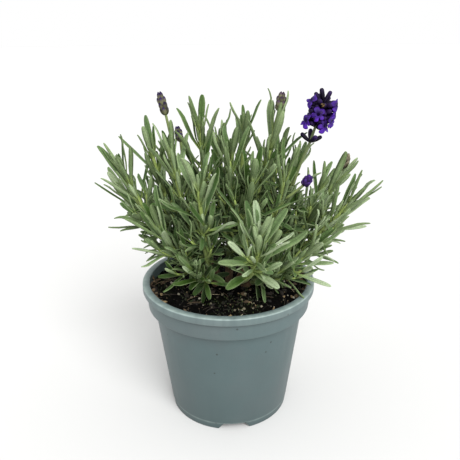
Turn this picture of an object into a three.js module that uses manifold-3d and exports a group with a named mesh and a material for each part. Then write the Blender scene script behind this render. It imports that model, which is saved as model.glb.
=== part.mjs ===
// Potted lavender: a bushy young lavender in a round nursery pot, with one open flower spike and
// five closed bud spikes.
//
// Frame: millimetres, +Z up. The origin is on the ground at the centre of the pot's foot, and -Y is
// the front, the side that the tallest shoots lean away from.
//
// How it is built:
//   pot       a lathed shell with a lip, a collar and a foot ring, cut by foot notches and drain holes
//   compost   a lathed plug that fills the pot, with a socket for the woody crown
//   crown     short woody branches from the root collar to the forks, where the green shoots start
//   shoots    a stem along a curve with crossed pairs of leaves, each shoot one body
//   spikes    stalks that end in a whorled flower spike or in a closed bud spike
// A leaf that would pass through a neighbour is shorter, so that it ends before the neighbour.

import * as THREE from "three";
import { mergeVertices } from "three/addons/utils/BufferGeometryUtils.js";
import Module from "manifold-3d";

// ---------------------------------------------------------------- driving dimensions

const GAP = 0.35; // left between two pieces that touch

const POT = {
  height: 105,
  rimRadius: 65,
  rimInnerRadius: 59.7,
  lipHeight: 5.8,
  collarHeight: 19, // from the rim down to the step under the collar
  collarRadius: 61.4,
  wallTopRadius: 56.9,
  footRadius: 46,
  wall: 1.5,
  floorZ: 5.2, // underside of the floor, above the ground
  seamStep: 0.3, // the wall stands this proud of the foot ring
  segments: 40,
};

const NOTCH = {
  count: 4,
  firstTurn: 4.5, // degrees from the front
  widthBelow: 24,
  widthAbove: 16,
  height: 4.8,
};
const DRAIN = { radius: 4.5, ring: 36 }; // one hole behind each notch, and one in the middle

const SOIL = { edgeZ: 97.5, middleZ: 101.5 };

const COLLAR_TOP = [0, 0, 88]; // the root collar, where the crown's branches meet, inside the compost
const BRANCH = { lowRadius: 3.4, highRadius: 1.9 };
const STEM = { lowRadius: 1.5, highRadius: 0.9 };
const STALK_RADIUS = 0.8;
const LEAF = {
  length: 37,
  halfWidth: 2.5,
  halfThickness: 0.65,
  firstAt: 0.14, // share of the stem below the lowest pair
};

// Where the crown's branches end and the green shoots begin.
const FORKS = {
  heart: [0, 0, 118],
  front: [6, -14, 108],
  frontLeft: [-13, -12, 108],
  left: [-20, -1, 110],
  backLeft: [-13, 13, 111],
  back: [2, 18, 112],
  backRight: [16, 12, 111],
  right: [20, -2, 110],
  frontRight: [17, -12, 106],
};

// One entry for each leafy shoot: the fork it grows from, its stem's tip, its number of leaf pairs,
// the turn of its lowest pair in degrees, and where they differ from 1, how large and how broad its
// leaves are. `first` is the share of the stem below its leaves where it is more than usual, and
// `bow` says how far out and up the stem bends, as shares of its reach.
const SHOOTS = {
  front_centre: {
    fork: "front",
    tip: [20, -53, 156],
    pairs: 6,
    turn: 8,
    broad: 1.3,
    first: 0.42,
    bow: [0.92, 0.3],
  },
  front_left: { fork: "frontLeft", tip: [-19, -34, 184], pairs: 7, turn: 65, broad: 1.15 },
  centre_front: { fork: "heart", tip: [17, -20, 184], pairs: 7, turn: 35, size: 0.95 },
  centre: { fork: "heart", tip: [2, -2, 196], pairs: 7, turn: 80 },
  left_low: { fork: "frontLeft", tip: [-46, -27, 152], pairs: 7, turn: 15 },
  left_long: { fork: "left", tip: [-73, -1, 187], pairs: 8, turn: 50 },
  left_high: { fork: "left", tip: [-54, 12, 196], pairs: 7, turn: 10 },
  left_inner: { fork: "frontLeft", tip: [-38, -6, 197], pairs: 7, turn: 75 },
  top_left: { fork: "backLeft", tip: [-19, 10, 214], pairs: 8, turn: 30 },
  top_middle: { fork: "back", tip: [13, 28, 209], pairs: 7, turn: 55 },
  top_right: { fork: "heart", tip: [33, 3, 215], pairs: 8, turn: 5 },
  right_inner: { fork: "right", tip: [40, -8, 183], pairs: 7, turn: 70 },
  right_upper: { fork: "backRight", tip: [50, 15, 184], pairs: 7, turn: 70 },
  right_high: { fork: "right", tip: [78, 3, 178], pairs: 7, turn: 60 },
  right_long: { fork: "right", tip: [85, -12, 166], pairs: 8, turn: 40 },
  right_low: { fork: "frontRight", tip: [57, -28, 138], pairs: 6, turn: 15, size: 0.85 },
  front_low: { fork: "frontLeft", tip: [-22, -36, 124], pairs: 5, turn: 45, size: 0.7, broad: 1.1 },
  front_right_low: { fork: "frontRight", tip: [36, -32, 125], pairs: 5, turn: 70, size: 0.6 },
  back_left: { fork: "backLeft", tip: [-44, 38, 184], pairs: 6, turn: 35 },
  back_middle: { fork: "back", tip: [-6, 44, 198], pairs: 7, turn: 0 },
  back_right: { fork: "backRight", tip: [40, 42, 187], pairs: 6, turn: 55 },
  far_left: { fork: "backLeft", tip: [-78, 29, 160], pairs: 7, turn: 20 },
  far_right: { fork: "backRight", tip: [74, 40, 160], pairs: 7, turn: 80 },
  far_back_left: { fork: "back", tip: [-30, 49, 150], pairs: 6, turn: 45 },
  far_back_right: { fork: "back", tip: [28, 50, 153], pairs: 6, turn: 10 },
};

// The open flower's stalk, and the whorls of its spike as shares of the spike's length.
const FLOWER = { from: [47, 1, 176], bend: [51, 1, 192], base: [58, 1, 208], tip: [69, 2, 244] };
const WHORLS = [
  { at: 0.02, calyces: 4, tilt: 58, length: 10 },
  { at: 0.3, calyces: 6, tilt: 72, length: 8.5 },
  { at: 0.42, calyces: 6, tilt: 68, length: 9 },
  { at: 0.54, calyces: 6, tilt: 62, length: 9 },
  { at: 0.66, calyces: 6, tilt: 52, length: 9.5 },
  { at: 0.78, calyces: 6, tilt: 27, length: 10 },
];

// An open corolla: its tube runs from its throat to its mouth, at these distances from the spike's
// axis, and its lobes lean round the mouth, in degrees from across.
const COROLLA = { throat: 5.2, mouth: 9.6, tilt: 78, throatRadius: 0.9, mouthRadius: 1.5, overlap: 0.7 };
const LOBES = [
  { lean: 52, length: 4.6 },
  { lean: 128, length: 4.6 },
  { lean: 212, length: 3.6 },
  { lean: 270, length: 4.2 },
  { lean: 328, length: 3.6 },
];

// The open corollas: how far up the spike each stands, as a share of its length, and the way it
// faces round the spike, in degrees.
const COROLLAS = [
  { at: 0.47, facing: -108 },
  { at: 0.31, facing: -152 },
  { at: 0.64, facing: 180 },
  { at: 0.68, facing: -18 },
  { at: 0.54, facing: -4 },
  { at: 0.4, facing: -16 },
  { at: 0.27, facing: -56 },
  { at: 0.54, facing: 60 },
  { at: 0.4, facing: 112 },
  { at: 0.64, facing: 118 },
];

// The closed bud spikes: where each stalk leaves, where its spike starts and where it ends.
const BUDS = {
  left_tall: { from: [-38, 10, 200], base: [-43, 10, 226], tip: [-47, 10, 242], radius: 3.2 },
  left_short: { from: [-32, 6, 197], base: [-33, 6, 208], tip: [-35, 5, 219], radius: 2.8 },
  right_tall: { from: [34, 3, 214], base: [36, 4, 229], tip: [38, 4, 242], radius: 3.4 },
  right_side: { from: [77, 4, 174], base: [83, 5, 188], tip: [86, 5, 199], radius: 3.2 },
  inner_right: { from: [41, -10, 170], base: [53, -11, 180], tip: [58, -11, 187], radius: 3.4 },
};

const COLOURS = {
  pot: 0x66787a,
  compost: 0x1f1712,
  crown: 0x5a4a38,
  shoot: 0x6f8f5f,
  stalk: 0x7d8c66,
  calyx: 0x2c1650,
  corolla: 0x5a2fa8,
  bud: 0x6c6a66,
};

// ---------------------------------------------------------------- small helpers

const wasm = await Module();
wasm.setup();

const UP = new THREE.Vector3(0, 0, 1);
const vector = (xyz) => new THREE.Vector3(...xyz);
const mix = (a, b, share) => a + (b - a) * share;
const radians = THREE.MathUtils.degToRad;

// A repeatable number from 0 to 1 for each seed, so that no two leaves are quite alike.
function scatter(seed) {
  const wave = Math.sin(seed * 12.9898 + 4.1414) * 43758.5453;
  return wave - Math.floor(wave);
}

// The same as a number from -1 to 1.
const sway = (seed) => 2 * scatter(seed) - 1;

// A closed three.js geometry as a solid that can be joined and cut.
function solidOf(geometry) {
  const bare = geometry.clone();
  bare.deleteAttribute("normal");
  bare.deleteAttribute("uv");
  const merged = mergeVertices(bare, 1e-4);
  return new wasm.Manifold(
    new wasm.Mesh({
      numProp: 3,
      vertProperties: merged.attributes.position.array,
      triVerts: new Uint32Array(merged.index.array),
    }),
  );
}

// A solid as a three.js geometry.
function geometryOf(solid) {
  const { vertProperties, triVerts } = solid.getMesh();
  const geometry = new THREE.BufferGeometry();
  geometry.setAttribute("position", new THREE.BufferAttribute(vertProperties, 3));
  geometry.setIndex(new THREE.BufferAttribute(triVerts, 1));
  geometry.computeVertexNormals();
  return geometry;
}

const join = (solids) => wasm.Manifold.union(solids);

const boxesMeet = (a, b) => [0, 1, 2].every((k) => a.min[k] < b.max[k] && b.min[k] < a.max[k]);

function nearby(solid, others) {
  const box = solid.boundingBox();
  return others.filter((other) => boxesMeet(box, other.boundingBox()));
}

const largest = (solid) =>
  solid.decompose().reduce((best, piece) => (piece.volume() > best.volume() ? piece : best));

// Cuts obstacles out of a solid and keeps the largest piece, so that what was cut off is gone.
function trimmed(solid, obstacles) {
  const near = nearby(solid, obstacles);
  return near.length ? largest(solid.subtract(join(near))) : solid;
}

const isClear = (solid, obstacles) =>
  nearby(solid, obstacles).every((other) => solid.intersect(other).volume() < 1e-4);

// Bends a unit cylinder or cone, whose axis runs along Y, onto a curve. `half` gives the half width
// and half thickness at a share of the length, and `side` the direction of the width. An `ease`
// under 1 moves the rings between the ends towards the tip.
function sweep(blank, curve, half, side, ease = 1) {
  const places = blank.attributes.position;
  const point = new THREE.Vector3();
  for (let i = 0; i < places.count; i++) {
    point.fromBufferAttribute(places, i);
    const share = THREE.MathUtils.clamp(point.y + 0.5, 0, 1) ** ease;
    const reach = Math.hypot(point.x, point.z) || 1;
    const [width, thickness] = half(share);
    const along = curve.getTangent(share);
    const across = side.clone().addScaledVector(along, -side.dot(along)).normalize();
    const face = new THREE.Vector3().crossVectors(across, along);
    const place = curve.getPoint(share);
    place.addScaledVector(across, (point.x / reach) * width);
    place.addScaledVector(face, (point.z / reach) * thickness);
    places.setXYZ(i, place.x, place.y, place.z);
  }
  return solidOf(blank);
}

// A tapering rod along a curve, square like a lavender's stem, `grow` thicker all round.
function rod(curve, lowRadius, highRadius, grow = 0, sides = 4, steps = 3) {
  const radiusAt = (share) => {
    const radius = mix(lowRadius, highRadius, share) + grow;
    return [radius, radius];
  };
  const runsAcross = Math.abs(curve.getTangent(0.5).x) > 0.8;
  const side = runsAcross ? new THREE.Vector3(0, 1, 0) : new THREE.Vector3(1, 0, 0);
  return sweep(new THREE.CylinderGeometry(1, 1, 1, sides, steps), curve, radiusAt, side);
}

// A curve that leaves `from` outwards and turns up towards `to`.
function risingCurve(from, to, outFirst = 0.62, upFirst = 0.36) {
  const reach = to.clone().sub(from);
  const bend = reach.clone().multiply(new THREE.Vector3(outFirst, outFirst, upFirst)).add(from);
  return new THREE.QuadraticBezierCurve3(from, bend, to);
}

// A lathed solid about +Z from its profile of [radius, z] points.
function lathed(profile, segments) {
  const points = profile.map(([radius, z]) => new THREE.Vector2(radius, z));
  return solidOf(new THREE.LatheGeometry(points, segments).rotateX(Math.PI / 2));
}

// ---------------------------------------------------------------- pot and compost

function potSolid() {
  const { height, rimRadius, rimInnerRadius, lipHeight, collarHeight, collarRadius, wall } = POT;
  const collarZ = height - collarHeight;
  const lipZ = height - lipHeight;
  const floorTop = POT.floorZ + wall;
  const shell = lathed(
    [
      [0, POT.floorZ],
      [POT.footRadius - wall, POT.floorZ],
      [POT.footRadius - wall, 0],
      [POT.footRadius, 0],
      [POT.footRadius + 0.5, POT.floorZ],
      [POT.footRadius + 0.5 + POT.seamStep, POT.floorZ + 0.4],
      [POT.wallTopRadius, collarZ],
      [collarRadius, collarZ + 0.8],
      [collarRadius + 0.9, lipZ - 0.2],
      [rimRadius, lipZ + 0.4],
      [rimRadius, height - 0.9],
      [rimRadius - 0.9, height],
      [rimInnerRadius, height],
      [collarRadius - wall, collarZ + 1],
      [POT.wallTopRadius - wall, collarZ - 0.5],
      [POT.footRadius - 1, floorTop],
      [0, floorTop],
    ],
    POT.segments,
  );
  return shell.subtract(join([...footNotches(), ...drainHoles()]));
}

// How far each notch is turned about the axis from the front.
const notchTurns = Array.from(
  { length: NOTCH.count },
  (_, i) => radians(NOTCH.firstTurn) + (i * 2 * Math.PI) / NOTCH.count,
);

// Wedge-shaped gaps in the foot ring that let water run out from under the pot.
function footNotches() {
  const below = NOTCH.widthBelow / 2;
  const above = NOTCH.widthAbove / 2;
  const outline = new THREE.Shape([
    new THREE.Vector2(-below - 1, -1),
    new THREE.Vector2(below + 1, -1),
    new THREE.Vector2(above, NOTCH.height),
    new THREE.Vector2(-above, NOTCH.height),
  ]);
  return notchTurns.map((turn) => {
    const wedge = new THREE.ExtrudeGeometry(outline, { depth: 12, bevelEnabled: false });
    wedge.rotateX(Math.PI / 2).translate(0, 6 - POT.footRadius, 0);
    return solidOf(wedge.rotateZ(turn));
  });
}

function drainHoles() {
  const places = notchTurns.map((turn) => [DRAIN.ring * Math.sin(turn), -DRAIN.ring * Math.cos(turn)]);
  return [...places, [0, 0]].map(([x, y]) => {
    const plug = new THREE.CylinderGeometry(DRAIN.radius, DRAIN.radius, 4 * POT.wall, 12);
    return solidOf(plug.rotateX(Math.PI / 2).translate(x, y, POT.floorZ + POT.wall / 2));
  });
}

// Compost to the inner wall, domed towards the middle. `grow` lifts its surface.
function compostSolid(grow = 0) {
  const collarZ = POT.height - POT.collarHeight;
  const floorTop = POT.floorZ + POT.wall + GAP;
  const inner = POT.wallTopRadius - POT.wall - GAP;
  const collarInner = POT.collarRadius - POT.wall - GAP;
  return lathed(
    [
      [0, floorTop],
      [POT.footRadius - 1.6 - GAP, floorTop],
      [POT.footRadius - 0.8 - GAP, floorTop + 0.6],
      [inner, collarZ - 0.4],
      [collarInner - 0.6, collarZ + 1.2],
      [collarInner - 0.6, SOIL.edgeZ + grow],
      [collarInner * 0.5, mix(SOIL.edgeZ, SOIL.middleZ, 0.7) + grow],
      [0, SOIL.middleZ + grow],
    ],
    POT.segments / 2,
  );
}

// ---------------------------------------------------------------- crown, stems and leaves

function crownSolid(grow = 0) {
  const collar = vector(COLLAR_TOP);
  const branches = Object.values(FORKS).map((end) => {
    const curve = risingCurve(collar, vector(end), 0.5, 0.55);
    return rod(curve, BRANCH.lowRadius, BRANCH.highRadius, grow, 5, 2);
  });
  return join(branches);
}

const stemCurve = (shoot) =>
  risingCurve(vector(FORKS[shoot.fork]), vector(shoot.tip), ...(shoot.bow ?? []));

// Half the leaf's width at a share of its length, as a share of its greatest half width: narrow at
// the foot, widest past the middle, and blunt at the tip.
function leafOutline(share) {
  const swelling = Math.sin((Math.min(share / 0.65, 1) * Math.PI) / 2);
  return (0.22 + 0.78 * swelling) * Math.sqrt(1 - share ** 6);
}

// The leaves of a shoot as { curve, side, halfWidth }: crossed pairs, spreading low on the stem and
// upright at its tip. The lowest hang a little, and those under a leaning stem turn up to the light.
function leavesOf(shoot, number) {
  const stem = stemCurve(shoot);
  const leaves = [];
  for (let pair = 0; pair < shoot.pairs; pair++) {
    const rank = pair / (shoot.pairs - 1);
    const at = mix(shoot.first ?? LEAF.firstAt, 1, rank ** 0.9);
    const root = stem.getPoint(at);
    const along = stem.getTangent(at);
    const level = new THREE.Vector3().crossVectors(along, UP).normalize();
    for (const half of [0, 1]) {
      const seed = number * 100 + pair * 2 + half;
      const turn = radians(shoot.turn + 90 * pair + 180 * half + 14 * sway(seed + 0.1));
      const outward = level.clone().applyAxisAngle(along, turn);
      const foot = root.clone().addScaledVector(outward, STEM.highRadius * 0.6);
      const spread = radians(mix(68, 20, rank ** 1.3) + 9 * sway(seed + 0.2));
      const curl = radians(mix(-4, 12, scatter(seed + 0.3)) - 6 * rank);
      const length = leafLength(rank) * (shoot.size ?? 1) * (1 + 0.14 * sway(seed + 0.4));
      const hang = 0.5 * (1 - rank) ** 3;
      const lift = 0.4 * Math.max(0, -outward.z);
      const first = direction(along, outward, spread, lift);
      const second = direction(along, outward, spread + curl, 0.1 * rank - hang + lift);
      const bend = foot.clone().addScaledVector(first, length / 2);
      const tip = bend.clone().addScaledVector(second, length / 2);
      const across = new THREE.Vector3().crossVectors(along, outward);
      across.applyAxisAngle(first, radians(18 * sway(seed + 0.5)));
      leaves.push({
        curve: new THREE.QuadraticBezierCurve3(foot, bend, tip),
        side: across,
        halfWidth: LEAF.halfWidth * (shoot.broad ?? 1) * mix(0.9, 1.12, scatter(seed + 0.6)),
      });
    }
  }
  return leaves;
}

// Leaves are longest a little above the middle of the stem, and not yet fully grown at its tip.
function leafLength(rank) {
  const grown = LEAF.length * (0.55 + 0.45 * Math.sin(Math.PI * (0.12 + 0.62 * rank)));
  return rank === 1 ? 0.82 * grown : grown;
}

// A unit direction at an angle from the stem, lifted by `rise`.
function direction(along, outward, angle, rise) {
  return along
    .clone()
    .multiplyScalar(Math.cos(angle))
    .addScaledVector(outward, Math.sin(angle))
    .addScaledVector(UP, rise)
    .normalize();
}

// A leaf is three-sided: flat above, with its midrib as a keel below.
function leafSolid(leaf, grow = 0) {
  const half = (share) => {
    const outline = leafOutline(share);
    const thickness = LEAF.halfThickness * (0.4 + 0.6 * outline);
    return [leaf.halfWidth * outline + 1.6 * grow, thickness + 1.6 * grow];
  };
  return sweep(new THREE.ConeGeometry(1, 1, 3, 2), leaf.curve, half, leaf.side, 0.6);
}

// The longest version of a leaf that stays clear of the obstacles, or nothing if even the shortest
// one meets them.
function fittedLeaf(leaf, obstacles) {
  const { v0, v1 } = leaf.curve;
  for (const share of [1, 0.85, 0.7, 0.55, 0.4]) {
    const bend = v0.clone().lerp(v1, share);
    const curve = new THREE.QuadraticBezierCurve3(v0, bend, leaf.curve.getPoint(share));
    const fitted = { ...leaf, curve };
    if (isClear(leafSolid(fitted), obstacles)) return fitted;
  }
  return null;
}

// ---------------------------------------------------------------- flowers and buds

const line = (from, to) => new THREE.LineCurve3(vector(from), vector(to));

const flowerStalkCurve = () =>
  new THREE.QuadraticBezierCurve3(vector(FLOWER.from), vector(FLOWER.bend), vector(FLOWER.base));

// A place on the open spike: the point on its axis and the unit directions outward and along it.
function spikePlace(at, facing) {
  const axis = line(FLOWER.base, FLOWER.tip);
  const along = axis.getTangent(0);
  const outward = new THREE.Vector3(1, 0, 0).addScaledVector(along, -along.x).normalize();
  outward.applyAxisAngle(along, radians(facing));
  return { place: axis.getPoint(at), along, outward };
}

// A slim bud-shaped calyx tube that points outward and up from the spike's axis.
function calyxSolid(whorl, facing, grow = 0) {
  const { place, along, outward } = spikePlace(whorl.at, facing);
  const pointing = direction(along, outward, radians(whorl.tilt), 0);
  const end = place.clone().addScaledVector(pointing, whorl.length);
  const half = (share) => {
    const radius = mix(0.5, 1.5, Math.sin(Math.PI * Math.min(share, 0.92))) + grow;
    return [radius, radius];
  };
  const across = new THREE.Vector3().crossVectors(along, outward);
  return sweep(new THREE.ConeGeometry(1, 1, 4, 2), new THREE.LineCurve3(place, end), half, across, 0.8);
}

function flowerSpikeSolid(grow = 0) {
  const core = rod(line(FLOWER.base, FLOWER.tip), 1.4, 0.9, grow, 5, 1);
  const calyces = WHORLS.flatMap((whorl, w) =>
    Array.from({ length: whorl.calyces }, (_, i) => {
      const facing = (360 * i) / whorl.calyces + 26 * w + 8 * sway(w * 10 + i);
      return calyxSolid(whorl, facing, grow);
    }),
  );
  return join([core, ...calyces]);
}

// An open corolla: a slim tube with two lobes above and three below, set past the calyces.
function corollaSolid({ at, facing }, grow = 0) {
  const { place, along, outward } = spikePlace(at, facing);
  const across = new THREE.Vector3().crossVectors(along, outward);
  const pointing = direction(along, outward, radians(COROLLA.tilt), 0);
  const mouth = place.clone().addScaledVector(pointing, COROLLA.mouth);
  const throat = place.clone().addScaledVector(pointing, COROLLA.throat);
  const tubeCurve = new THREE.LineCurve3(throat, mouth);
  const tube = rod(tubeCurve, COROLLA.throatRadius, COROLLA.mouthRadius, grow, 4, 1);
  const lobes = LOBES.map(({ lean, length }) => {
    const way = across
      .clone()
      .multiplyScalar(Math.cos(radians(lean)))
      .addScaledVector(along, Math.sin(radians(lean)))
      .addScaledVector(pointing, 0.25)
      .normalize();
    const root = mouth.clone().addScaledVector(pointing, -COROLLA.overlap);
    const half = (share) => [mix(1, 1.9, Math.sin(Math.PI * share * 0.8)) + grow, 0.5 + grow];
    const wide = new THREE.Vector3().crossVectors(pointing, way);
    const curve = new THREE.LineCurve3(root, root.clone().addScaledVector(way, length));
    return sweep(new THREE.ConeGeometry(1, 1, 3, 2), curve, half, wide, 0.7);
  });
  return join([tube, ...lobes]);
}

// A closed bud spike is a slim egg of overlapping bracts, drawn here by its outer shape.
function budSolid(bud, grow = 0) {
  const half = (share) => {
    const radius = bud.radius * Math.sin(Math.PI * mix(0.12, 0.95, share)) ** 0.8 + grow;
    return [radius, radius];
  };
  const across = new THREE.Vector3(0, 1, 0);
  return sweep(new THREE.CylinderGeometry(1, 1, 1, 7, 4), line(bud.base, bud.tip), half, across);
}

// ---------------------------------------------------------------- assembly

const plant = new THREE.Group();

function add(name, solid, colour, roughness = 0.8) {
  const material = new THREE.MeshStandardMaterial({ color: colour, roughness, metalness: 0 });
  const mesh = new THREE.Mesh(geometryOf(solid), material);
  mesh.name = name;
  plant.add(mesh);
}

// Every piece already placed, a gap larger all round, for the pieces that come later.
const taken = [];

const pot = potSolid();
add("pot", pot, COLOURS.pot, 0.5);
add("compost", compostSolid().subtract(crownSolid(GAP)), COLOURS.compost, 0.95);
add("crown", crownSolid(), COLOURS.crown);
taken.push(pot, compostSolid(GAP), crownSolid(GAP));

// Stalks, spikes and corollas come before any leaf, so that leaves give way to them.
const flowerStalk = (grow) => rod(flowerStalkCurve(), STALK_RADIUS * 1.2, STALK_RADIUS, grow);
add("flower_stalk", trimmed(flowerStalk(0), [flowerSpikeSolid(GAP)]), COLOURS.stalk);
taken.push(flowerStalk(GAP));
add("flower_spike", flowerSpikeSolid(), COLOURS.calyx);
taken.push(flowerSpikeSolid(GAP));

COROLLAS.forEach((corolla, i) => {
  add(`open_flower_${i + 1}`, trimmed(corollaSolid(corolla), taken), COLOURS.corolla);
  taken.push(corollaSolid(corolla, GAP));
});

for (const [name, bud] of Object.entries(BUDS)) {
  const stalkOf = (grow) => rod(line(bud.from, bud.base), STALK_RADIUS, STALK_RADIUS, grow, 4, 1);
  add(`bud_${name}_stalk`, trimmed(stalkOf(0), [...taken, budSolid(bud, GAP)]), COLOURS.stalk);
  add(`bud_${name}`, trimmed(budSolid(bud), taken), COLOURS.bud);
  taken.push(stalkOf(GAP), budSolid(bud, GAP));
}

// All stems stand before the first leaf, so that no leaf cuts a stem.
const shoots = Object.entries(SHOOTS).map(([name, shoot], number) => {
  const stemOf = (grow) => rod(stemCurve(shoot), STEM.lowRadius, STEM.highRadius, grow);
  const stem = trimmed(stemOf(0), taken);
  const room = stemOf(GAP);
  taken.push(room);
  return { name, stem, room, leaves: leavesOf(shoot, number) };
});

for (const { name, stem, room, leaves } of shoots) {
  const others = taken.filter((solid) => solid !== room);
  const fitted = leaves.map((leaf) => fittedLeaf(leaf, others)).filter(Boolean);
  const blades = fitted.map((leaf) => leafSolid(leaf));
  add(`shoot_${name}`, largest(join([stem, ...blades])), COLOURS.shoot);
  taken.push(...fitted.map((leaf) => leafSolid(leaf, GAP)));
}

export default plant;
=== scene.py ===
"""Lavender in a nursery pot: the fine surfaces and materials, built over the part's solid model.

Every piece is a surface worked out with numpy from a few sizes, in metres, in the solid model's own
frame: +Z up, the origin on the ground at the centre of the pot's foot, and -Y to the front. The
shoots follow the same growth rule as the solid model, so each stands where its solid does.
"""

import math

import bpy
import numpy as np
from bpy.props import FloatProperty, FloatVectorProperty, IntProperty, PointerProperty
from mathutils import Matrix, Vector


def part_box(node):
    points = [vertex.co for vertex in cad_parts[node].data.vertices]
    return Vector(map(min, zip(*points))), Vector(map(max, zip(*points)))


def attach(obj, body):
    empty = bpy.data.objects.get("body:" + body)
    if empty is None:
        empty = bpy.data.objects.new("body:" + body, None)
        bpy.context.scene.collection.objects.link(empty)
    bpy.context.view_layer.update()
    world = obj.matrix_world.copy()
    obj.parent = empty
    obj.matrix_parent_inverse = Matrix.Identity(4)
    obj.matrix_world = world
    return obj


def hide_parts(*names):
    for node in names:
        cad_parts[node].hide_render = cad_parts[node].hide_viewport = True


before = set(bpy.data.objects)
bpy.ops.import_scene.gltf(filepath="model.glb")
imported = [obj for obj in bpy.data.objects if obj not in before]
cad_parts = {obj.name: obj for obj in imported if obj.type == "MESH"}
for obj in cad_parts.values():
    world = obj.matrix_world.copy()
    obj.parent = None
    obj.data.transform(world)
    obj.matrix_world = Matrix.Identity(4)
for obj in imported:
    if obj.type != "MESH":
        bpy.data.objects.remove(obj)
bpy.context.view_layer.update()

bl_info = {
    "name": "Potted Lavender",
    "version": (1, 0, 0),
    "blender": (4, 5, 0),
    "location": "3D View > Sidebar > Lavender",
    "description": "Builds a potted lavender's pot, compost, leafy shoots and flowers",
    "category": "Add Mesh",
}

MM = 0.001
BODY = "root"
UP = np.array([0.0, 0.0, 1.0])

# ------------------------------------------------------------------ where the plant's parts grow, mm

COLLAR_TOP = (0, 0, 88)

FORKS = {
    "heart": (0, 0, 118),
    "front": (6, -14, 108),
    "frontLeft": (-13, -12, 108),
    "left": (-20, -1, 110),
    "backLeft": (-13, 13, 111),
    "back": (2, 18, 112),
    "backRight": (16, 12, 111),
    "right": (20, -2, 110),
    "frontRight": (17, -12, 106),
}

# Each leafy shoot: the fork it grows from, its stem's tip, its number of leaf pairs, the turn of its
# lowest pair in degrees, and where they differ from 1, how large and how broad its leaves are.
# `first` is the share of the stem below its leaves where it is more than usual, and `bow` says how
# far out and up the stem bends, as shares of its reach.
SHOOTS = {
    "front_centre": dict(
        fork="front", tip=(20, -53, 156), pairs=6, turn=8, broad=1.3, first=0.42, bow=(0.92, 0.3)
    ),
    "front_left": dict(fork="frontLeft", tip=(-19, -34, 184), pairs=7, turn=65, broad=1.15),
    "centre_front": dict(fork="heart", tip=(17, -20, 184), pairs=7, turn=35, size=0.95),
    "centre": dict(fork="heart", tip=(2, -2, 196), pairs=7, turn=80),
    "left_low": dict(fork="frontLeft", tip=(-46, -27, 152), pairs=7, turn=15),
    "left_long": dict(fork="left", tip=(-73, -1, 187), pairs=8, turn=50),
    "left_high": dict(fork="left", tip=(-54, 12, 196), pairs=7, turn=10),
    "left_inner": dict(fork="frontLeft", tip=(-38, -6, 197), pairs=7, turn=75),
    "top_left": dict(fork="backLeft", tip=(-19, 10, 214), pairs=8, turn=30),
    "top_middle": dict(fork="back", tip=(13, 28, 209), pairs=7, turn=55),
    "top_right": dict(fork="heart", tip=(33, 3, 215), pairs=8, turn=5),
    "right_inner": dict(fork="right", tip=(40, -8, 183), pairs=7, turn=70),
    "right_upper": dict(fork="backRight", tip=(50, 15, 184), pairs=7, turn=70),
    "right_high": dict(fork="right", tip=(78, 3, 178), pairs=7, turn=60),
    "right_long": dict(fork="right", tip=(85, -12, 166), pairs=8, turn=40),
    "right_low": dict(fork="frontRight", tip=(57, -28, 138), pairs=6, turn=15, size=0.85),
    "front_low": dict(fork="frontLeft", tip=(-22, -36, 124), pairs=5, turn=45, size=0.62, broad=0.95),
    "front_right_low": dict(fork="frontRight", tip=(36, -32, 125), pairs=5, turn=70, size=0.6),
    "back_left": dict(fork="backLeft", tip=(-44, 38, 184), pairs=6, turn=35),
    "back_middle": dict(fork="back", tip=(-6, 44, 198), pairs=7, turn=0),
    "back_right": dict(fork="backRight", tip=(40, 42, 187), pairs=6, turn=55),
    "far_left": dict(fork="backLeft", tip=(-78, 29, 160), pairs=7, turn=20),
    "far_right": dict(fork="backRight", tip=(74, 40, 160), pairs=7, turn=80),
    "far_back_left": dict(fork="back", tip=(-30, 49, 150), pairs=6, turn=45),
    "far_back_right": dict(fork="back", tip=(28, 50, 153), pairs=6, turn=10),
}

# The open flower's stalk, and the whorls of its spike: how far up it each stands, its number of
# calyces, their tilt from the axis and the first one's turn in degrees, and their length.
FLOWER = dict(start=(47, 1, 176), bend=(51, 1, 192), base=(58, 1, 208), tip=(69, 2, 244))
WHORLS = [
    dict(at=0.02, calyces=4, tilt=58, length=10, turn=0),
    dict(at=0.3, calyces=9, tilt=74, length=8.5, turn=26),
    dict(at=0.38, calyces=9, tilt=70, length=9, turn=5),
    dict(at=0.46, calyces=9, tilt=66, length=9, turn=52),
    dict(at=0.54, calyces=9, tilt=62, length=9.5, turn=31),
    dict(at=0.62, calyces=9, tilt=56, length=9.5, turn=74),
    dict(at=0.69, calyces=6, tilt=60, length=10, turn=0),
    dict(at=0.75, calyces=2, tilt=21, length=10, turn=0),
]
# The open corollas: how far up the spike each stands, the way it faces round the spike and its own
# roll in degrees, and how far out it stands where that is more than usual.
COROLLAS = [
    dict(at=0.47, facing=-108, roll=0),
    dict(at=0.31, facing=-152, roll=14, reach=1.1),
    dict(at=0.64, facing=-162, roll=-20, reach=1.12),
    dict(at=0.68, facing=-32, roll=25, reach=1.1),
    dict(at=0.54, facing=-20, roll=-30, reach=1.15),
    dict(at=0.4, facing=-30, roll=35, reach=1.12),
    dict(at=0.27, facing=-56, roll=-15),
    dict(at=0.54, facing=60, roll=10),
    dict(at=0.4, facing=112, roll=-10),
    dict(at=0.64, facing=118, roll=15),
]

# The closed bud spikes: where each stalk leaves, where its spike starts and where it ends.
BUDS = {
    "left_tall": dict(start=(-38, 10, 200), base=(-43, 10, 226), tip=(-47, 10, 242), radius=3.2),
    "left_short": dict(start=(-32, 6, 197), base=(-33, 6, 208), tip=(-35, 5, 219), radius=2.8),
    "right_tall": dict(start=(34, 3, 214), base=(36, 4, 229), tip=(38, 4, 242), radius=3.4),
    "right_side": dict(start=(77, 4, 174), base=(83, 5, 188), tip=(86, 5, 199), radius=3.2),
    "inner_right": dict(start=(41, -10, 170), base=(53, -11, 180), tip=(58, -11, 187), radius=3.4),
}


# ------------------------------------------------------------------ numbers and vectors


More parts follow.
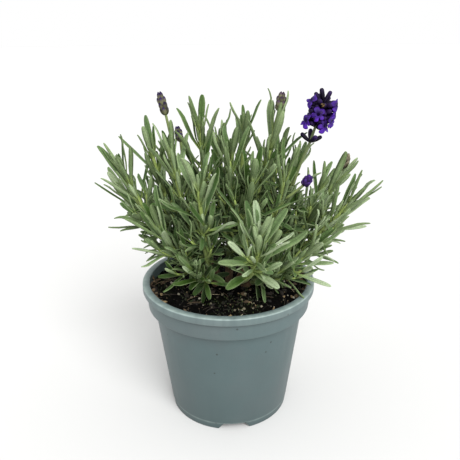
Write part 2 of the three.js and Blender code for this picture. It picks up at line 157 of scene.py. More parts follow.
def scatter(seed):
    """A repeatable number from 0 to 1 for each seed: the fraction of a steep sine."""
    wave = np.sin(np.asarray(seed, float) * 12.9898 + 4.1414) * 43758.5453
    return wave - np.floor(wave)


def sway(seed):
    """The same from -1 to 1."""
    return 2 * scatter(seed) - 1


def mix(a, b, share):
    """The value a share of the way from a to b."""
    return a + (b - a) * share


def unit(vectors):
    """Vectors of length 1."""
    return vectors / np.linalg.norm(vectors, axis=-1, keepdims=True)


def turned(vectors, axes, angles):
    """Vectors at right angles to their axes, turned about them by angles in radians."""
    return vectors * np.cos(angles)[..., None] + np.cross(axes, vectors) * np.sin(angles)[..., None]


def bow_point(bow, share):
    """Points on bows of three points each: the quadratic Bezier curve."""
    t = np.asarray(share, float)[..., None]
    return (1 - t) ** 2 * bow[..., 0, :] + 2 * t * (1 - t) * bow[..., 1, :] + t**2 * bow[..., 2, :]


def bow_way(bow, share):
    """The unit direction along those curves."""
    t = np.asarray(share, float)[..., None]
    return unit((1 - t) * (bow[..., 1, :] - bow[..., 0, :]) + t * (bow[..., 2, :] - bow[..., 1, :]))


def metres(point):
    """A point given in millimetres."""
    return np.array(point, float) * MM


def rising_bow(start, end, out_first=0.62, up_first=0.36):
    """A bow that leaves its start outwards and turns up towards its end."""
    start, end = metres(start), metres(end)
    bend = start + (end - start) * np.array([out_first, out_first, up_first])
    return np.stack([start, bend, end])


def straight_bow(start, end):
    """A bow with no bend."""
    return np.stack([start, (start + end) / 2, end])


def two_part_bow(foot, first, second, length):
    """A bow that sets out one way and ends another way, with half of its length for each."""
    bend = foot + first * length[:, None] / 2
    return np.stack([foot, bend, bend + second * length[:, None] / 2], axis=1)


def circle(count):
    """Angles spread evenly round a full turn."""
    return np.linspace(0, 2 * np.pi, count, endpoint=False)


def round_axis(radius, turn, height):
    """Points at radii, angles and heights about the pot's axis."""
    return np.stack(np.broadcast_arrays(radius * np.cos(turn), radius * np.sin(turn), height), axis=-1)


# Large factors that mix a lattice corner's x, y and z, the seed and the sum's own bits into a hash.
CORNER_MIX = np.array([374761393, 668265263, 2147483647])
SEED_MIX, HASH_MIX = 1274126177, 1103515245
ALL_BITS, HALF_BITS = 0xFFFFFFFF, 0xFFFF


def noise(points, size, seed=0):
    """Smooth noise from -1 to 1 with lumps of a given size: random values on a cubic lattice,
    blended between its corners by an S-shaped share."""
    places = np.asarray(points, float) / size
    corner = np.floor(places).astype(np.int64)
    share = places - corner
    share = share * share * (3 - 2 * share)
    total = np.zeros(places.shape[:-1])
    for step in np.ndindex(2, 2, 2):
        mixed = np.sum((corner + step) * CORNER_MIX, axis=-1)
        mixed = (mixed + seed * SEED_MIX) & ALL_BITS
        mixed = ((mixed ^ (mixed >> 13)) * HASH_MIX) & ALL_BITS
        value = 2 * ((mixed ^ (mixed >> 16)) & HALF_BITS) / HALF_BITS - 1
        weight = np.prod(np.where(np.array(step) == 1, share, 1 - share), axis=-1)
        total += value * weight
    return total


# ------------------------------------------------------------------ meshes


def closed_tubes(rings):
    """Vertices and faces of closed tubes from rings of shape (tubes, rows, columns, 3). Neighbouring
    rings are joined by quads, and each end ring is closed by a fan of triangles about its centre.
    Columns run anticlockwise seen from the last row, which turns the faces outwards. The faces are a
    pair of arrays: the quads and the triangles."""
    tubes, rows, columns, _ = rings.shape
    centres = rings[:, [0, -1]].mean(axis=2)
    vertices = np.concatenate([rings.reshape(tubes, rows * columns, 3), centres], axis=1)
    row, column = np.meshgrid(np.arange(rows - 1), np.arange(columns), indexing="ij")
    after = (column + 1) % columns
    low, high = row * columns, (row + 1) * columns
    quads = np.stack([low + column, low + after, high + after, high + column], axis=-1).reshape(-1, 4)
    ring = np.arange(columns)
    last = (rows - 1) * columns
    around = (ring + 1) % columns
    foot = np.stack([np.full(columns, rows * columns), around, ring], axis=-1)
    head = np.stack([np.full(columns, rows * columns + 1), last + ring, last + around], axis=-1)
    starts = (np.arange(tubes) * (rows * columns + 2))[:, None, None]
    fans = np.concatenate([foot, head])
    return vertices.reshape(-1, 3), ((quads + starts).reshape(-1, 4), (fans + starts).reshape(-1, 3))


def on_vertices(values, rings):
    """Values for each vertex of closed_tubes(rings) from values that broadcast to its rings."""
    full = np.broadcast_to(values, rings.shape[:3])
    ends = full[:, [0, -1]].mean(axis=2)
    return np.concatenate([full.reshape(len(full), -1), ends], axis=1).reshape(-1)


def tube_surface(rings, **marks):
    """A surface of closed tubes: its vertices, its faces and its marks by name. Each mark is given as
    values that broadcast to the rings."""
    return *closed_tubes(rings), {mark: on_vertices(values, rings) for mark, values in marks.items()}


def sweep(bows, rows, outline, side):
    """Rings carried along bows. `outline` holds each ring's points as (across, up) offsets of shape
    (tubes, rows, columns, 2), and `side` the direction of across."""
    at = bow_point(bows[:, None], rows)
    way = bow_way(bows[:, None], rows)
    across = side[:, None] - way * np.sum(side[:, None] * way, axis=-1, keepdims=True)
    across = unit(across)
    up = np.cross(way, across)
    offset = outline[..., 0, None] * across[:, :, None] + outline[..., 1, None] * up[:, :, None]
    return at[:, :, None] + offset


def round_outline(radius, columns, ribs=0, depth=0.0):
    """Circular rings of the given radii (tubes, rows), with raised ribs round them."""
    turn = circle(columns)
    reach = radius[..., None] * (1 + depth * np.cos(ribs * turn))
    return np.stack([reach * np.cos(turn), reach * np.sin(turn)], axis=-1)


def sideways(bows):
    """A direction across each bow."""
    way = unit(bows[:, 2] - bows[:, 0])
    rough = np.where(np.abs(way[:, :1]) > 0.8, np.array([0.0, 1.0, 0.0]), np.array([1.0, 0.0, 0.0]))
    return unit(rough - way * np.sum(rough * way, axis=-1, keepdims=True))


def new_object(name, vertices, faces):
    """A mesh object in the scene, from faces as arrays of one kind each."""
    mesh = bpy.data.meshes.new(name)
    mesh.from_pydata(vertices.tolist(), [], [face for kind in faces for face in kind.tolist()])
    made = bpy.data.objects.new(name, mesh)
    bpy.context.scene.collection.objects.link(made)
    return made


def make_piece(name, surface, material, stands_for=()):
    """A smooth object that rides on the pot. The surface's marks become attributes on its vertices."""
    vertices, faces, marks = surface
    piece = new_object(name, vertices, faces)
    mesh = piece.data
    mesh.polygons.foreach_set("use_smooth", np.ones(len(mesh.polygons), bool))
    for mark, values in marks.items():
        mesh.attributes.new(mark, "FLOAT", "POINT").data.foreach_set("value", values.astype(np.float32))
    mesh.materials.append(material)
    mesh.update()
    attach(piece, BODY)
    if stands_for:
        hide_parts(*stands_for)
    return piece


def joined(surfaces):
    """One surface from several with the same marks."""
    all_vertices, all_faces, all_marks = zip(*surfaces)
    starts = np.cumsum([0] + [len(vertices) for vertices in all_vertices])
    faces = tuple(
        np.concatenate([kind + start for kind, start in zip(kinds, starts)]) for kinds in zip(*all_faces)
    )
    marks = {mark: np.concatenate([marks[mark] for marks in all_marks]) for mark in all_marks[0]}
    return np.concatenate(all_vertices), faces, marks


# ------------------------------------------------------------------ materials

# The sockets of a colour mix: how much of the second colour there is, and the two colours.
SHARE, UNDER, OVER = 0, 6, 7
MIX = dict(data_type="RGBA")
MULTIPLY = dict(data_type="RGBA", blend_type="MULTIPLY")
# The output that each kind of node is used for, where that isn't its first.
OUTPUT = {"Attribute": "Fac", "Mix": 2, "SeparateXYZ": "Z", "TexCoord": "Object"}


def linear(colour):
    """A colour as linear light, from a hex value such as 0x6B7B7C."""
    channels = np.array([colour >> 16 & 255, colour >> 8 & 255, colour & 255]) / 255
    light = np.where(channels <= 0.04045, channels / 12.92, ((channels + 0.055) / 1.055) ** 2.4)
    return (*light, 1.0)


def add_node(tree, kind, inputs=(), stops=(), **settings):
    """Adds a node and returns the output it is used for. `inputs` gives its sockets a value or a link
    from an output, by name or in their order, `stops` gives a colour ramp its (place, hex colour)
    pairs, and the rest are the node's own settings."""
    node = tree.nodes.new("ShaderNode" + kind)
    for setting, value in settings.items():
        setattr(node, setting, value)
    for socket, value in inputs.items() if isinstance(inputs, dict) else enumerate(inputs):
        if isinstance(value, bpy.types.NodeSocket):
            tree.links.new(value, node.inputs[socket])
        else:
            node.inputs[socket].default_value = value
    if stops:
        elements = node.color_ramp.elements
        while len(elements) < len(stops):
            elements.new(1.0)
        for element, (place, colour) in zip(elements, stops):
            element.position, element.color = place, linear(colour)
    return node.outputs[OUTPUT.get(kind, 0)]


def new_material(name):
    """A node material, its empty tree, and the place in the object as a texture coordinate."""
    material = bpy.data.materials.new(name)
    material.use_nodes = True
    tree = material.node_tree
    tree.nodes.clear()
    return material, tree, add_node(tree, "TexCoord")


def finish_material(material, colour, roughness, height=None, depth=0.0, **sockets):
    """Ends a material in one Principled shader, with the height as a bump whose depth is given in
    millimetres. Returns the material."""
    tree = material.node_tree
    inputs = {"Base Color": colour, "Roughness": roughness}
    inputs.update({name.replace("_", " "): value for name, value in sockets.items()})
    if height is not None:
        bump = {"Height": height, "Distance": depth * MM, "Strength": 1.0}
        inputs["Normal"] = add_node(tree, "Bump", bump)
    output = tree.nodes.new("ShaderNodeOutputMaterial")
    tree.links.new(add_node(tree, "BsdfPrincipled", inputs), output.inputs["Surface"])
    return material


def per_metre(size):
    """A texture's scale for lumps of a given size in millimetres."""
    return 1 / (size * MM)


def moulded_polypropylene(settings):
    """Polypropylene, injection moulded and matt from use: an even grey-teal with slightly cloudy
    pigment and a fine moulded grain. It is paler where pots are handled and rubbed, with a painted
    highlight along the crest of the lip, and painted shade darkens it towards the foot and in the
    creases under the lip and the collar."""
    material, tree, place = new_material("Moulded polypropylene")
    cloud = add_node(tree, "TexNoise", {"Vector": place, "Scale": per_metre(30), "Detail": 5.0})
    grain = add_node(tree, "TexNoise", {"Vector": place, "Scale": per_metre(1.1), "Detail": 2.0})
    smudge = add_node(tree, "TexNoise", {"Vector": place, "Scale": per_metre(48), "Detail": 3.0})
    speck = add_node(tree, "TexVoronoi", {"Vector": place, "Scale": per_metre(13), "Randomness": 1.0})
    drawn = add_node(tree, "Mapping", {"Vector": place, "Scale": (1.0, 1.0, 0.12)})
    streak = add_node(tree, "TexNoise", {"Vector": drawn, "Scale": per_metre(6), "Detail": 2.0})
    height = add_node(tree, "SeparateXYZ", {"Vector": place})
    rub = add_node(tree, "Attribute", attribute_name="rub")
    soil = add_node(tree, "Attribute", attribute_name="soil")
    dark, light = (*settings.pot_dark, 1.0), (*settings.pot_light, 1.0)
    colour = add_node(tree, "Mix", {SHARE: cloud, UNDER: dark, OVER: light}, **MIX)
    # Laid one over the other: warm smudges, painted shade from the ground up, specks, rubbed edges
    # with a painted highlight on the lip's crest, and painted shade in the creases.
    for share, over in (
        (add_node(tree, "MapRange", (smudge, 0.5, 0.72, 0.0, 0.35)), 0x56595B),
        # Painted shade: the plastic darkens from 0.8 of the pot's height down to the foot.
        (add_node(tree, "MapRange", (height, 0.0, settings.height * 0.8, 0.5, 0.0)), 0x2C3A3B),
        (add_node(tree, "MapRange", (speck, 0.05, 0.07, 0.8, 0.0)), 0x262D2E),
        # Rubbed paler where handled and on the step above the foot, and a painted highlight along the
        # lip's crest.
        (add_node(tree, "Math", (rub, streak), operation="MULTIPLY"), 0x8C9C98),
        # Painted shade in the creases under the lip and the collar.
        (add_node(tree, "Math", (soil, 0.75), operation="MULTIPLY"), 0x2A3334),
    ):
        colour = add_node(tree, "Mix", {SHARE: share, UNDER: colour, OVER: linear(over)}, **MIX)
    roughness = add_node(tree, "MapRange", (streak, 0.0, 1.0, 0.36, 0.56))
    return finish_material(material, colour, roughness, grain, 0.05, IOR=1.49)


def peat_compost():
    """Milled peat with bark dust, moist: nearly black crumbs, dark brown where they dry, and a thin
    film of moss in patches."""
    material, tree, place = new_material("Peat compost")
    crumb = add_node(tree, "TexNoise", {"Vector": place, "Scale": per_metre(2.2), "Detail": 6.0})
    patch = add_node(tree, "TexNoise", {"Vector": place, "Scale": per_metre(16), "Detail": 4.0})
    stops = [(0.4, 0x010101), (0.57, 0x040302), (0.69, 0x100C07), (0.8, 0x2C2317)]
    peat = add_node(tree, "ValToRGB", {"Fac": crumb}, stops)
    moss = add_node(tree, "MapRange", (patch, 0.52, 0.66, 0.0, 0.6))
    mossy = add_node(tree, "Mix", {SHARE: moss, UNDER: peat, OVER: linear(0x0E1304)}, **MIX)
    return finish_material(material, mossy, 0.95, crumb, 0.8, Specular_IOR_Level=0.08)


def tinted_matter(name, grain_size, roughness, depth, *stops):
    """Dry plant matter or grit whose pieces differ in tone: a colour ramp over each piece's own tint,
    darkened in a fine grain."""
    material, tree, place = new_material(name)
    tint = add_node(tree, "Attribute", attribute_name="tint")
    grain = add_node(tree, "TexNoise", {"Vector": place, "Scale": per_metre(grain_size), "Detail": 4.0})
    tone = add_node(tree, "ValToRGB", {"Fac": tint}, stops)
    shade = add_node(tree, "MapRange", (grain, 0.3, 0.7, 0.55, 1.25))
    toned = add_node(tree, "Mix", {SHARE: 1.0, UNDER: tone, OVER: shade}, **MULTIPLY)
    return finish_material(material, toned, roughness, grain, depth)


def felted_leaf(settings):
    """Lavender leaf: a green blade under a felt of short star-shaped hairs, which greys its colour and
    gives it a soft bloom. Its rolled margins are paler, its groove is darkened as painted shade, its
    underside pale and its foot yellow-green like the stem."""
    material, tree, place = new_material("Felted lavender leaf")
    across, along, tint, under = (
        add_node(tree, "Attribute", attribute_name=mark) for mark in ("across", "along", "tint", "under")
    )
    # The real hairs are under 0.1 mm, so the felt is drawn in tufts of 0.8 mm, which show.
    felt = add_node(tree, "TexNoise", {"Vector": place, "Scale": per_metre(0.8), "Detail": 3.0})
    cloud = add_node(tree, "TexNoise", {"Vector": place, "Scale": per_metre(7), "Detail": 2.0})
    drift = add_node(tree, "TexNoise", {"Vector": place, "Scale": per_metre(26), "Detail": 2.0})
    # The ramp over each leaf's tint, which carries painted shade deep in the bush and painted light at
    # its outside.
    stops = [(0.0, 0x1A3003), (0.3, 0x314C14), (0.6, 0x526A3A), (0.85, 0x788C62), (1.0, 0x9CAC8A)]
    colour = add_node(tree, "ValToRGB", {"Fac": tint}, stops)
    from_middle = add_node(tree, "Math", (across,), operation="ABSOLUTE")
    margin = add_node(tree, "MapRange", (from_middle, 0.7, 1.0, 0.0, 0.6))
    pale = add_node(tree, "Math", (under, 0.45, margin), operation="MULTIPLY_ADD", use_clamp=True)
    # Laid one over the other: grey patches of thicker felt, the pale margins and underside, the foot.
    for share, over in (
        (add_node(tree, "MapRange", (drift, 0.42, 0.64, 0.0, 0.22)), linear(0x6C8464)),
        (pale, (*settings.leaf_bloom, 1.0)),
        (add_node(tree, "MapRange", (along, 0.0, 0.34, 0.75, 0.0)), (*settings.stem_green, 1.0)),
    ):
        colour = add_node(tree, "Mix", {SHARE: share, UNDER: colour, OVER: over}, **MIX)
    light = add_node(tree, "MapRange", (felt, 0.3, 0.7, 0.72, 1.26))
    for shade in (
        add_node(tree, "MapRange", (cloud, 0.3, 0.7, 0.86, 1.1)),
        # Painted shade: the middle of the blade, along the groove, is darker.
        add_node(tree, "MapRange", (from_middle, 0.0, 0.22, 0.72, 1.0)),
    ):
        light = add_node(tree, "Math", (light, shade), operation="MULTIPLY")
    toned = add_node(tree, "Mix", {SHARE: 1.0, UNDER: colour, OVER: light}, **MULTIPLY)
    sheen = dict(Sheen_Weight=0.05, Sheen_Roughness=0.45, Sheen_Tint=linear(0xB4C09C))
    return finish_material(material, toned, 0.72, felt, 0.12, Specular_IOR_Level=0.2, **sheen)


def felted_stem(settings):
    """Young lavender stem: yellow-green under thin felt, and greyer towards its foot."""
    material, tree, place = new_material("Felted green stem")
    tint = add_node(tree, "Attribute", attribute_name="tint")
    felt = add_node(tree, "TexNoise", {"Vector": place, "Scale": per_metre(0.9), "Detail": 3.0})
    green = (*settings.stem_green, 1.0)
    tone = add_node(tree, "Mix", {SHARE: tint, UNDER: linear(0x59663C), OVER: green}, **MIX)
    fleck = add_node(tree, "MapRange", (felt, 0.3, 0.7, 0.8, 1.15))
    toned = add_node(tree, "Mix", {SHARE: 1.0, UNDER: tone, OVER: fleck}, **MULTIPLY)
    sheen = dict(Sheen_Weight=0.2, Sheen_Tint=linear(0xD0D8B8))
    return finish_material(material, toned, 0.68, felt, 0.12, **sheen)


def downy_violet(name, base, middle, tip, roughness, sheen):
    """Flower tissue under fine down, violet or still partly green: its colour runs along each calyx or
    petal, and each one's tint and a fine fleck vary it. On the corollas the tint also holds painted
    light on the lower lobes."""
    material, tree, place = new_material(name)
    along = add_node(tree, "Attribute", attribute_name="along")
    tint = add_node(tree, "Attribute", attribute_name="tint")
    down = add_node(tree, "TexNoise", {"Vector": place, "Scale": per_metre(0.7), "Detail": 3.0})
    run = add_node(tree, "ValToRGB", {"Fac": along}, [(0.0, base), (0.6, middle), (0.88, tip)])
    own = add_node(tree, "MapRange", (tint, 0.0, 1.0, 0.5, 1.6))
    fleck = add_node(tree, "MapRange", (down, 0.3, 0.7, 0.75, 1.25))
    light = add_node(tree, "Math", (own, fleck), operation="MULTIPLY")
    toned = add_node(tree, "Mix", {SHARE: 1.0, UNDER: run, OVER: light}, **MULTIPLY)
    down_sheen = dict(Sheen_Weight=sheen, Sheen_Roughness=0.4, Sheen_Tint=linear(tip))
    return finish_material(material, toned, roughness, down, 0.1, Specular_IOR_Level=0.2, **down_sheen)


def studio_paper():
    """Seamless studio paper: matt, nearly white, with faint unevenness."""
    material, tree, place = new_material("Seamless studio paper")
    cloud = add_node(tree, "TexNoise", {"Vector": place, "Scale": per_metre(400), "Detail": 2.0})
    tone = add_node(tree, "ValToRGB", {"Fac": cloud}, [(0.0, 0xCDCDCC), (1.0, 0xD2D2D1)])
    return finish_material(material, tone, 0.9, Specular_IOR_Level=0.1)


# ------------------------------------------------------------------ pot


def rounded_corners(corners, steps=4):
    """A profile through (radius, height, rounding) corners: each corner becomes a short bow between
    the points its rounding away on both sides."""
    points = np.array([corner[:2] for corner in corners], float)
    roundings = [rounding for _, _, rounding in corners[1:]]
    profile = [points[:1]]
    for before, corner, after, rounding in zip(points, points[1:], points[2:], roundings):
        if rounding == 0:
            profile.append(corner[None])
            continue
        start = corner + unit(before - corner) * rounding
        end = corner + unit(after - corner) * rounding
        profile.append(bow_point(np.stack([start, corner, end]), np.linspace(0, 1, steps + 1)))
    profile.append(points[-1:])
    return np.concatenate(profile)


# How far in the pot's profile starts and ends, and how far each side of a foot notch slopes.
INNERMOST = 4 * MM
NOTCH_SLOPE = 4 * MM


def notch_turns(pot):
    """The angle of each foot notch's middle."""
    return pot.notch_turn + np.arange(pot.notches) * 2 * np.pi / pot.notches


def notch_lift(turn, pot):
    """How far the foot ring's lower edge is lifted at each angle: a trapezoid at each notch."""
    pitch = 2 * np.pi / pot.notches
    from_notch = np.abs((turn - pot.notch_turn + pitch / 2) % pitch - pitch / 2) * pot.foot_radius
    return pot.notch_height * np.clip((pot.notch_width / 2 - from_notch) / NOTCH_SLOPE, 0, 1)


def pot_profile(pot):
    """The pot's section from the middle of the floor's underside, out and up over the lip, and back
    down its inside: each point's radius and height."""
    top, lip, collar = pot.height, pot.height - pot.lip_height, pot.height - pot.collar_height
    foot, wall, floor = pot.foot_radius, pot.wall, pot.floor_height
    profile = rounded_corners(
        [
            (INNERMOST, floor, 0),
            (foot - wall, floor, 0.6 * MM),  # inside of the foot ring
            (foot - wall, 0, 0.3 * MM),
            (foot, 0, 0.4 * MM),  # foot ring
            (foot + 0.38 * MM, floor - 1.3 * MM, 0),
            (foot + 0.5 * MM, floor, 0.2 * MM),
            (foot + 0.8 * MM, floor + 0.4 * MM, 0.3 * MM),  # step above it
            (foot + 0.92 * MM, floor + 1.4 * MM, 0),
            (pot.wall_top_radius - 0.2 * MM, collar - 1.5 * MM, 0),
            (pot.wall_top_radius, collar, 0.5 * MM),  # wall
            (pot.collar_radius, collar + 0.8 * MM, 0.6 * MM),
            (pot.collar_radius + 0.8 * MM, lip - 2 * MM, 0),
            (pot.collar_radius + 0.9 * MM, lip - 0.2 * MM, 0.5 * MM),  # collar
            (pot.rim_radius, lip + 0.4 * MM, 0.6 * MM),
            (pot.rim_radius, top, 0.9 * MM),
            (pot.rim_inner_radius, top, 0.8 * MM),  # lip
            (pot.collar_radius - wall, collar + 1 * MM, 0.6 * MM),
            (pot.wall_top_radius - wall, collar - 0.5 * MM, 0.5 * MM),
            (foot - 1 * MM, floor + wall, 0.8 * MM),  # inside of the wall
            (INNERMOST, floor + wall, 0),
        ]
    )
    return profile.T


def pot_wear_and_painted_light(pot, radius, height):
    """How much each point of the profile is made paler: rubbed by hands and by other pots, on the
    collar and the lip a little and on the step above the foot most, and with a painted highlight along
    the crest of the lip. Then the painted shade in the creases, by how near each point lies under the
    lip or the collar."""
    lip, collar = pot.height - pot.lip_height, pot.height - pot.collar_height
    handled = 0.1 * (height > collar) + 0.3 * (height > lip)
    # Painted highlight: the crest of the lip is lightened most.
    crest = (height > pot.height - 0.9 * MM) * (radius > pot.rim_radius - 2 * MM)
    edge = np.exp(-(((height - pot.floor_height) / (0.9 * MM)) ** 2)) * (radius > pot.foot_radius)
    # Painted shade in the creases under the lip and the collar.
    under = np.array([lip - 0.2 * MM, collar])[:, None] - height
    outside = radius > pot.wall_top_radius - 0.3 * MM
    soil = np.exp(-((under / (0.7 * MM)) ** 2)).sum(axis=0) * outside
    return handled + crest * 1.2 + edge * 0.7, soil


def build_pot(pot, material):
    """The pot's wall is one closed profile turned about the axis. Below the floor its heights are
    squeezed upwards at each notch, so that the foot ring opens there."""
    radius, height = pot_profile(pot)
    corner = np.array([pot.notch_width / 2, pot.notch_width / 2 - NOTCH_SLOPE]) / pot.foot_radius
    corners = notch_turns(pot)[:, None] + np.concatenate([corner, -corner])
    turn = np.unique(np.concatenate([circle(300), corners.ravel()]) % (2 * np.pi))
    below = np.clip(1 - height / pot.floor_height, 0, 1) * (radius > pot.foot_radius - 2 * pot.wall)
    lifted = height[:, None] + below[:, None] * notch_lift(turn, pot)
    rub, soil = pot_wear_and_painted_light(pot, radius, height)
    rings = round_axis(radius[:, None], turn, lifted)[None]
    surface = tube_surface(rings, rub=rub[:, None], soil=soil[:, None])
    piece = make_piece("pot_shell", surface, material, ["pot"])
    drill_drains(piece, pot)


def drill_drains(piece, pot):
    """Cuts the floor's drain holes: one behind each notch and one in the middle."""
    turns = notch_turns(pot)
    spots = np.stack([np.cos(turns), np.sin(turns)], axis=-1) * pot.drain_ring
    spots = np.concatenate([spots, [[0.0, 0.0]]])
    ends = (pot.floor_height - 2 * pot.wall, pot.floor_height + 3 * pot.wall)
    feet, heads = (np.column_stack([spots, np.full(len(spots), end)]) for end in ends)
    bows = np.stack([feet, (feet + heads) / 2, heads], axis=1)
    radii = np.full((len(spots), 2), pot.drain_radius)
    rings = sweep(bows, np.array([0.0, 1.0]), round_outline(radii, 36), sideways(bows))
    cutters = new_object("drain_cutters", *closed_tubes(rings))
    drains = piece.modifiers.new("drain holes", "BOOLEAN")
    drains.operation, drains.object, drains.solver = "DIFFERENCE", cutters, "EXACT"
    bpy.context.view_layer.update()
    cut = bpy.data.meshes.new_from_object(piece.evaluated_get(bpy.context.evaluated_depsgraph_get()))
    piece.modifiers.clear()
    piece.data = cut
    bpy.data.objects.remove(cutters)


# ------------------------------------------------------------------ compost and what lies on it


def compost_height(x, y, pot):
    """The compost's surface: highest in the middle, in crumbs and clods of three sizes."""
    radius = np.hypot(x, y) / pot.rim_inner_radius
    base = mix(pot.compost_middle, pot.compost_edge, np.clip(radius, 0, 1) ** 1.6)
    points = np.stack([x, y, 0 * x], axis=-1)
    lumps = 1.1 * MM * noise(points, 9 * MM, 1) + 0.7 * MM * noise(points, 4 * MM, 2)
    crumbs = 0.45 * MM * noise(points, 1.8 * MM, 3) + 0.25 * MM * noise(points, 0.9 * MM, 4)
    return base + lumps + crumbs


def build_compost(pot, material):
    """A plug with a crumbly top: rings up the pot's inner wall, then inwards over the surface."""
    floor_top = pot.floor_height + pot.wall + 0.35 * MM
    collar = pot.height - pot.collar_height
    wall = [
        (2 * MM, floor_top),
        (pot.foot_radius - 2 * MM, floor_top),
        (pot.wall_top_radius - pot.wall - 0.35 * MM, collar - 0.4 * MM),
        (pot.collar_radius - pot.wall - 0.8 * MM, collar + 1.2 * MM),
    ]
    reach = np.linspace(pot.collar_radius - pot.wall - 0.5 * MM, 1 * MM, 80)[:, None]
    turn = circle(340)
    radius, height = np.array(wall).T[..., None]
    top = compost_height(reach * np.cos(turn), reach * np.sin(turn), pot)
    rings = np.concatenate([round_axis(radius, turn, height), round_axis(reach, turn, top)])
    make_piece("compost_bed", tube_surface(rings[None]), material, ["compost"])


# How many pieces of each kind lie on the compost, and where each kind's seeds start.
LITTER = dict(bark=(300, 11), grains=(130, 700), fibres=(110, 1500), moss=(1500, 4000))


def scattered_spots(kind, pot, inner=0.2):
    """Spots over the compost with a seed each, spread evenly from `inner` of the rim's radius out."""
    count, seed = LITTER[kind]
    index = np.arange(count)
    turn = 2 * np.pi * scatter(seed + index * 1.7)
    share = mix(inner**2, 1, scatter(seed + 300 + index * 2.3))
    radius = (pot.rim_inner_radius - 3 * MM) * np.sqrt(share)
    height = compost_height(radius * np.cos(turn), radius * np.sin(turn), pot)
    return round_axis(radius, turn, height), index + seed


def lump_tint(seeds):
    """Each lump's own tint, for all of its vertices."""
    return scatter(seeds * 2.7)[:, None, None]


def lumps_on(spots, seeds, length, width, height, columns=7, rows=4):
    """Rings of irregular lumps at the spots: squashed balls, lying at any turn and slightly tilted,
    whose outline and thickness are uneven."""
    heading = 2 * np.pi * scatter(seeds * 3.1)
    way = unit(np.stack([np.cos(heading), np.sin(heading), 0.5 * sway(seeds * 5.3)], axis=-1))
    half = way * length[:, None] / 2
    share = np.linspace(0.03, 0.97, rows)
    swell = np.sin(np.pi * share) ** 0.5
    turn = circle(columns)
    uneven = 1 + 0.35 * sway(seeds[:, None, None] * 7.7 + share[:, None] * 31 + turn * 3)
    across = width[:, None, None] / 2 * swell[:, None] * uneven * np.cos(turn)
    up = height[:, None, None] / 2 * swell[:, None] * uneven * np.sin(turn)
    side = unit(np.cross(way, UP) + 0.5 * UP * sway(seeds * 9.1)[:, None])
    bows = np.stack([spots - half, spots, spots + half], axis=1)
    return sweep(bows, share, np.stack([across, up], axis=-1), side)


# How many crumbs stick to the wall inside the rim, and where they gather, as angles in degrees.
RIM_CRUMBS = 130
CRUMBLY_RIM = np.array([-112, -104, -158, 178, -22, 8])


def build_bark(pot, bark):
    """Bark chips on the compost, and crumbs of them that stick to the wall inside the rim."""
    spots, seeds = scattered_spots("bark", pot)
    size = mix(1.2, 7.0, scatter(seeds * 1.3) ** 3) * MM
    rings = lumps_on(spots, seeds, size, size * mix(0.4, 0.8, scatter(seeds * 1.9)), size * 0.35)
    make_piece("bark_chips", tube_surface(rings, tint=lump_tint(seeds)), bark)

    index = np.arange(RIM_CRUMBS)
    turn = np.radians(CRUMBLY_RIM[index % len(CRUMBLY_RIM)] + 11 * sway(index * 1.9))
    reach = pot.rim_inner_radius + mix(-3.5, 0.6, scatter(index * 2.7)) * MM
    height = pot.compost_edge + mix(0.5, 6.5, scatter(index * 3.7) ** 1.5) * MM
    size = mix(1.5, 6.0, scatter(index * 4.3)) * MM
    rings = lumps_on(round_axis(reach, turn, height), index + 5000, size, size * 0.4, size * 0.25)
    tint = (0.35 + 0.6 * scatter(index * 5.9))[:, None, None]
    make_piece("rim_crumbs", tube_surface(rings, tint=tint), bark)


def build_grains(pot, grit):
    """Pale round grains that stand a little out of the compost."""
    spots, seeds = scattered_spots("grains", pot)
    size = mix(0.8, 2.6, scatter(seeds * 1.3) ** 2) * MM
    rings = lumps_on(spots + UP * size[:, None] * 0.3, seeds, size, size * 0.9, size * 0.8, columns=6)
    make_piece("pale_grains", tube_surface(rings, tint=lump_tint(seeds)), grit)


def build_fibres(pot, fibre):
    """Thin root fibres that arch over the compost, kept inside the rim."""
    spots, seeds = scattered_spots("fibres", pot, inner=0.3)
    heading = 2 * np.pi * scatter(seeds * 3.1)
    length = mix(5, 17, scatter(seeds * 1.1) ** 1.5)[:, None] * MM
    half = round_axis(1, heading, 0) * length / 2
    bend = round_axis(1, heading + np.pi / 2, 0) * (sway(seeds * 4.7) * 0.6)[:, None]
    bend = bend + UP * mix(0.1, 0.5, scatter(seeds * 6.1))[:, None]
    bows = np.stack([spots - half, spots + bend * length * 0.5, spots + half], axis=1)
    reach = np.hypot(bows[..., 0], bows[..., 1])
    bows[..., :2] *= np.minimum(1, (pot.rim_inner_radius - 1 * MM) / reach)[..., None]
    radii = mix(0.12, 0.3, scatter(seeds * 8.3))[:, None] * MM * np.array([0.6, 1, 1, 1, 0.9, 0.5])
    rings = sweep(bows, np.linspace(0, 1, 6), round_outline(radii, 5), sideways(bows))
    make_piece("root_fibres", tube_surface(rings, tint=lump_tint(seeds)), fibre)


def build_moss(pot, moss):
    """Moss in patches: short pointed tufts that lean every way."""
    spots, seeds = scattered_spots("moss", pot)
    patch = noise(spots * [1, 1, 0], 15 * MM, 9) > 0.12
    spots, seeds = spots[patch], seeds[patch]
    lean = np.stack([sway(seeds * 1.3), sway(seeds * 1.7), 1.2 + 0 * seeds], axis=-1)
    tips = spots + unit(lean) * mix(0.7, 1.8, scatter(seeds * 2.9))[:, None] * MM
    bows = np.stack([spots - 0.3 * MM * UP, (spots + tips) / 2, tips], axis=1)
    radii = np.broadcast_to(np.array([0.3, 0.36, 0.12]) * MM, (len(seeds), 3))
    rings = sweep(bows, np.array([0, 0.5, 1.0]), round_outline(radii, 4), sideways(bows))
    make_piece("moss_tufts", tube_surface(rings, tint=lump_tint(seeds)), moss)


# ------------------------------------------------------------------ crown, stems and leaves


